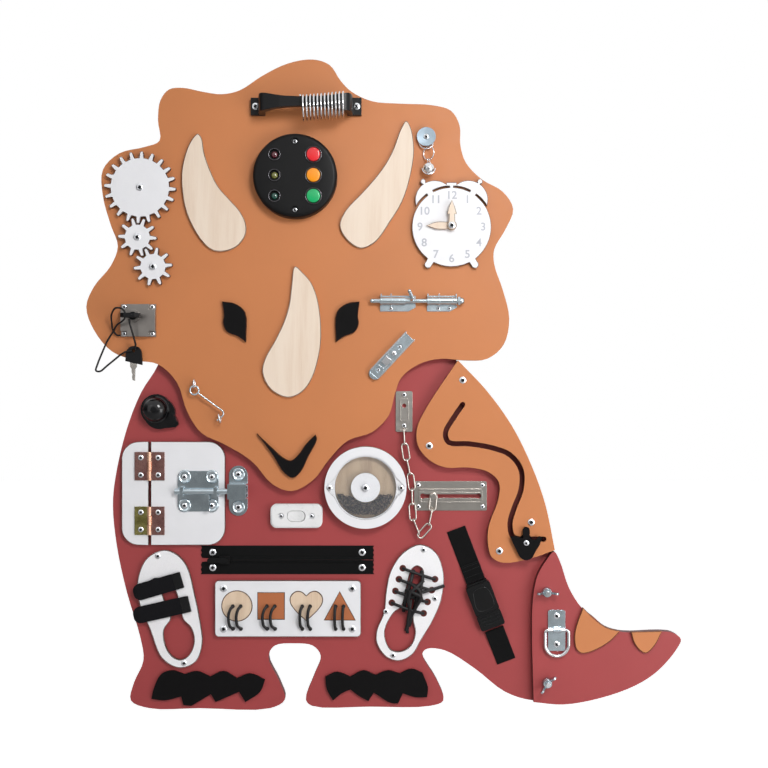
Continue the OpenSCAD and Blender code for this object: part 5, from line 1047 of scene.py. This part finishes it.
def band(points, wide, thick=1.3):
    """A woven band along (x, z) points, its selvedges rounded."""
    line = smooth_line([(x, 0, z) for x, z in points], 8)
    way = np.gradient(line, axis=0)
    way /= np.linalg.norm(way, axis=1)[:, None]
    section = [(-0.5, 0), (-0.48, 0.42), (-0.44, 0.5), (0.44, 0.5), (0.48, 0.42), (0.5, 0),
               (0.48, -0.42), (0.44, -0.5), (-0.44, -0.5), (-0.48, -0.42)]
    v = [p + np.array([-w[2] * b * thick, a * wide, w[0] * b * thick])
         for p, w in zip(line, way) for a, b in section]
    n, k = len(line), len(section)
    return (np.array(v), grid_faces(n, k) + [tuple(range(k)), tuple(range((n - 1) * k, n * k))[::-1]]), \
        length_of(line)


STRAP, STRAP_LEN, WEB = (92, -185.5, -69.11), 180.89, 25
SOCKET_X, PLUG_X = 71.6, 136.4       # where the webbing turns back at each end of the buckle
web, cut = band([(0, 12.75), (30, 12.8), (60, 12.75), (68, 13.0), (70.6, 13.6), (SOCKET_X - 0.7, 14.6),
                 (70.2, 15.4), (66, 15.1), (58, 14.3), (48, 14.15)], WEB)
o = piece("webbing_upper", web, "webbing", replaces=["strap_webbing"], frame_at=STRAP)
web, cut = band([(STRAP_LEN, 12.75), (160, 12.8), (146, 12.85), (140, 13.0), (137.6, 13.7), (PLUG_X + 0.7, 14.6),
                 (138, 15.4), (142, 15.1), (150, 14.3), (158, 14.15)], WEB)
o = piece("webbing_lower", web, "webbing", None, ["strap_webbing"], STRAP)
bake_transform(o)
seams = [box(x - 0.25, y, z, x + 0.25, y + 1.5, z + 0.2)
         for x, z in ((50, 14.75), (55, 14.8), (63, 15.5)) for y in np.arange(-11, 10.5, 2.2)]
piece("webbing_seams", joined(seams), "cord", frame_at=STRAP)

TOUCH_W, SHOE_TOP = 20, 17           # width, and height of the plate that the straps lie on
BASE_TOP, STRAP_LOW, STRAP_TOP = 18, 18.2, 20.2
FOLD = 2.5                           # how far a strap's folded end stands out to the left


def tongue(x0, x1, bump=0.0):
    """A strap's outline from x0 to x1, its left end rounded and its far edge bulging by bump."""
    n, r = 14, 8.0
    edge = [(-FOLD + r * (1 - math.cos(i / n * math.pi / 2)), TOUCH_W / 2 - r + r * math.sin(i / n * math.pi / 2))
            for i in range(n + 1)]
    edge += [(x, TOUCH_W / 2 + bump * math.exp(-((x - 28) / 4.5) ** 2)) for x in np.arange(7, x1, 1.5)]
    edge.append((x1, TOUCH_W / 2))
    first = next(i for i, p in enumerate(edge) if p[0] >= x0)
    edge = edge[first:]
    return edge[::-1] + [(x, -min(y, TOUCH_W / 2)) for x, y in edge]


def pad_of(outline, z0, z1, soft_edge=0.5):
    """A flat soft piece, its upper edge rounded."""
    p = np.array(outline)[::-1]
    way = np.roll(p, -1, 0) - np.roll(p, 1, 0)
    way /= np.linalg.norm(way, axis=1)[:, None]
    inward = np.stack([-way[:, 1], way[:, 0]], 1)
    n, v = len(p), []
    for inset, z in ((0.0, z0), (0.0, z1 - soft_edge), (soft_edge * 0.4, z1 - soft_edge * 0.3), (soft_edge, z1)):
        v += [(*q, z) for q in p + inward * inset]
    return np.array(v), grid_faces(4, n) + [tuple(range(n))[::-1], tuple(range(3 * n, 4 * n))]


for name, x, y, turn, length, bump in (("upper", -316, -266.5, 16.5, 61, 1.6),
                                       ("lower", -316, -295.5, 13, 70, 0.3)):
    node = "velcro_strap_" + name
    o = piece("touch_strap_" + name, pad_of(tongue(0, length, bump), STRAP_LOW, STRAP_TOP), "hook_tape", None,
              [node], (x, y, turn))
    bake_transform(o)
    o = piece("touch_base_" + name, pad_of(tongue(-FOLD, length * 0.8), SHOE_TOP, BASE_TOP), "hook_tape", BOARD,
              ["strap_webbing"], (x, y, turn))
    fold = [p for p in tongue(-FOLD, 20) if p[0] < 0]
    piece("touch_fold_" + name, pad_of(fold, SHOE_TOP, STRAP_TOP), "hook_tape", BOARD, (),
          (x, y, turn))
    pad = joined([box(length - 11, -9.6, 20.15, length - 0.4, 9.6, 20.55),
                  box(length - 1.2, -9.9, 19.0, length + 0.1, 9.9, 20.6)])
    piece("strap_end_" + name, pad, "gloss_black", node, frame_at=(x, y, turn))
ribs = [box(x, -12.5, 21.2, x + 1.6, 12.5, 22.0) for x in (117, 121.5, 126)]
piece("buckle_ribs", joined(ribs), "gloss_black", "buckle_plug", frame_at=STRAP)
outline = [(82, -9), (104, -11.5), (108, -8), (109, 0), (108, 8), (104, 11.5), (82, 9), (80, 0), (82, -9)]
line = smooth_line([(x, y, 21.3) for x, y in outline], 8)
piece("buckle_panel_line", tube(line, 0.9, 6), "gloss_black", "board",
      frame_at=STRAP, angle=1.4)
edge = smooth_line([(77, 15.4, 19.5), (85, 15.7, 20.5), (98, 15.5, 20.6), (111, 15.2, 19.8)], 8)
piece("buckle_socket_edge", tube(edge, 1.2, 8), "gloss_black", "board",
      frame_at=STRAP, angle=1.4)
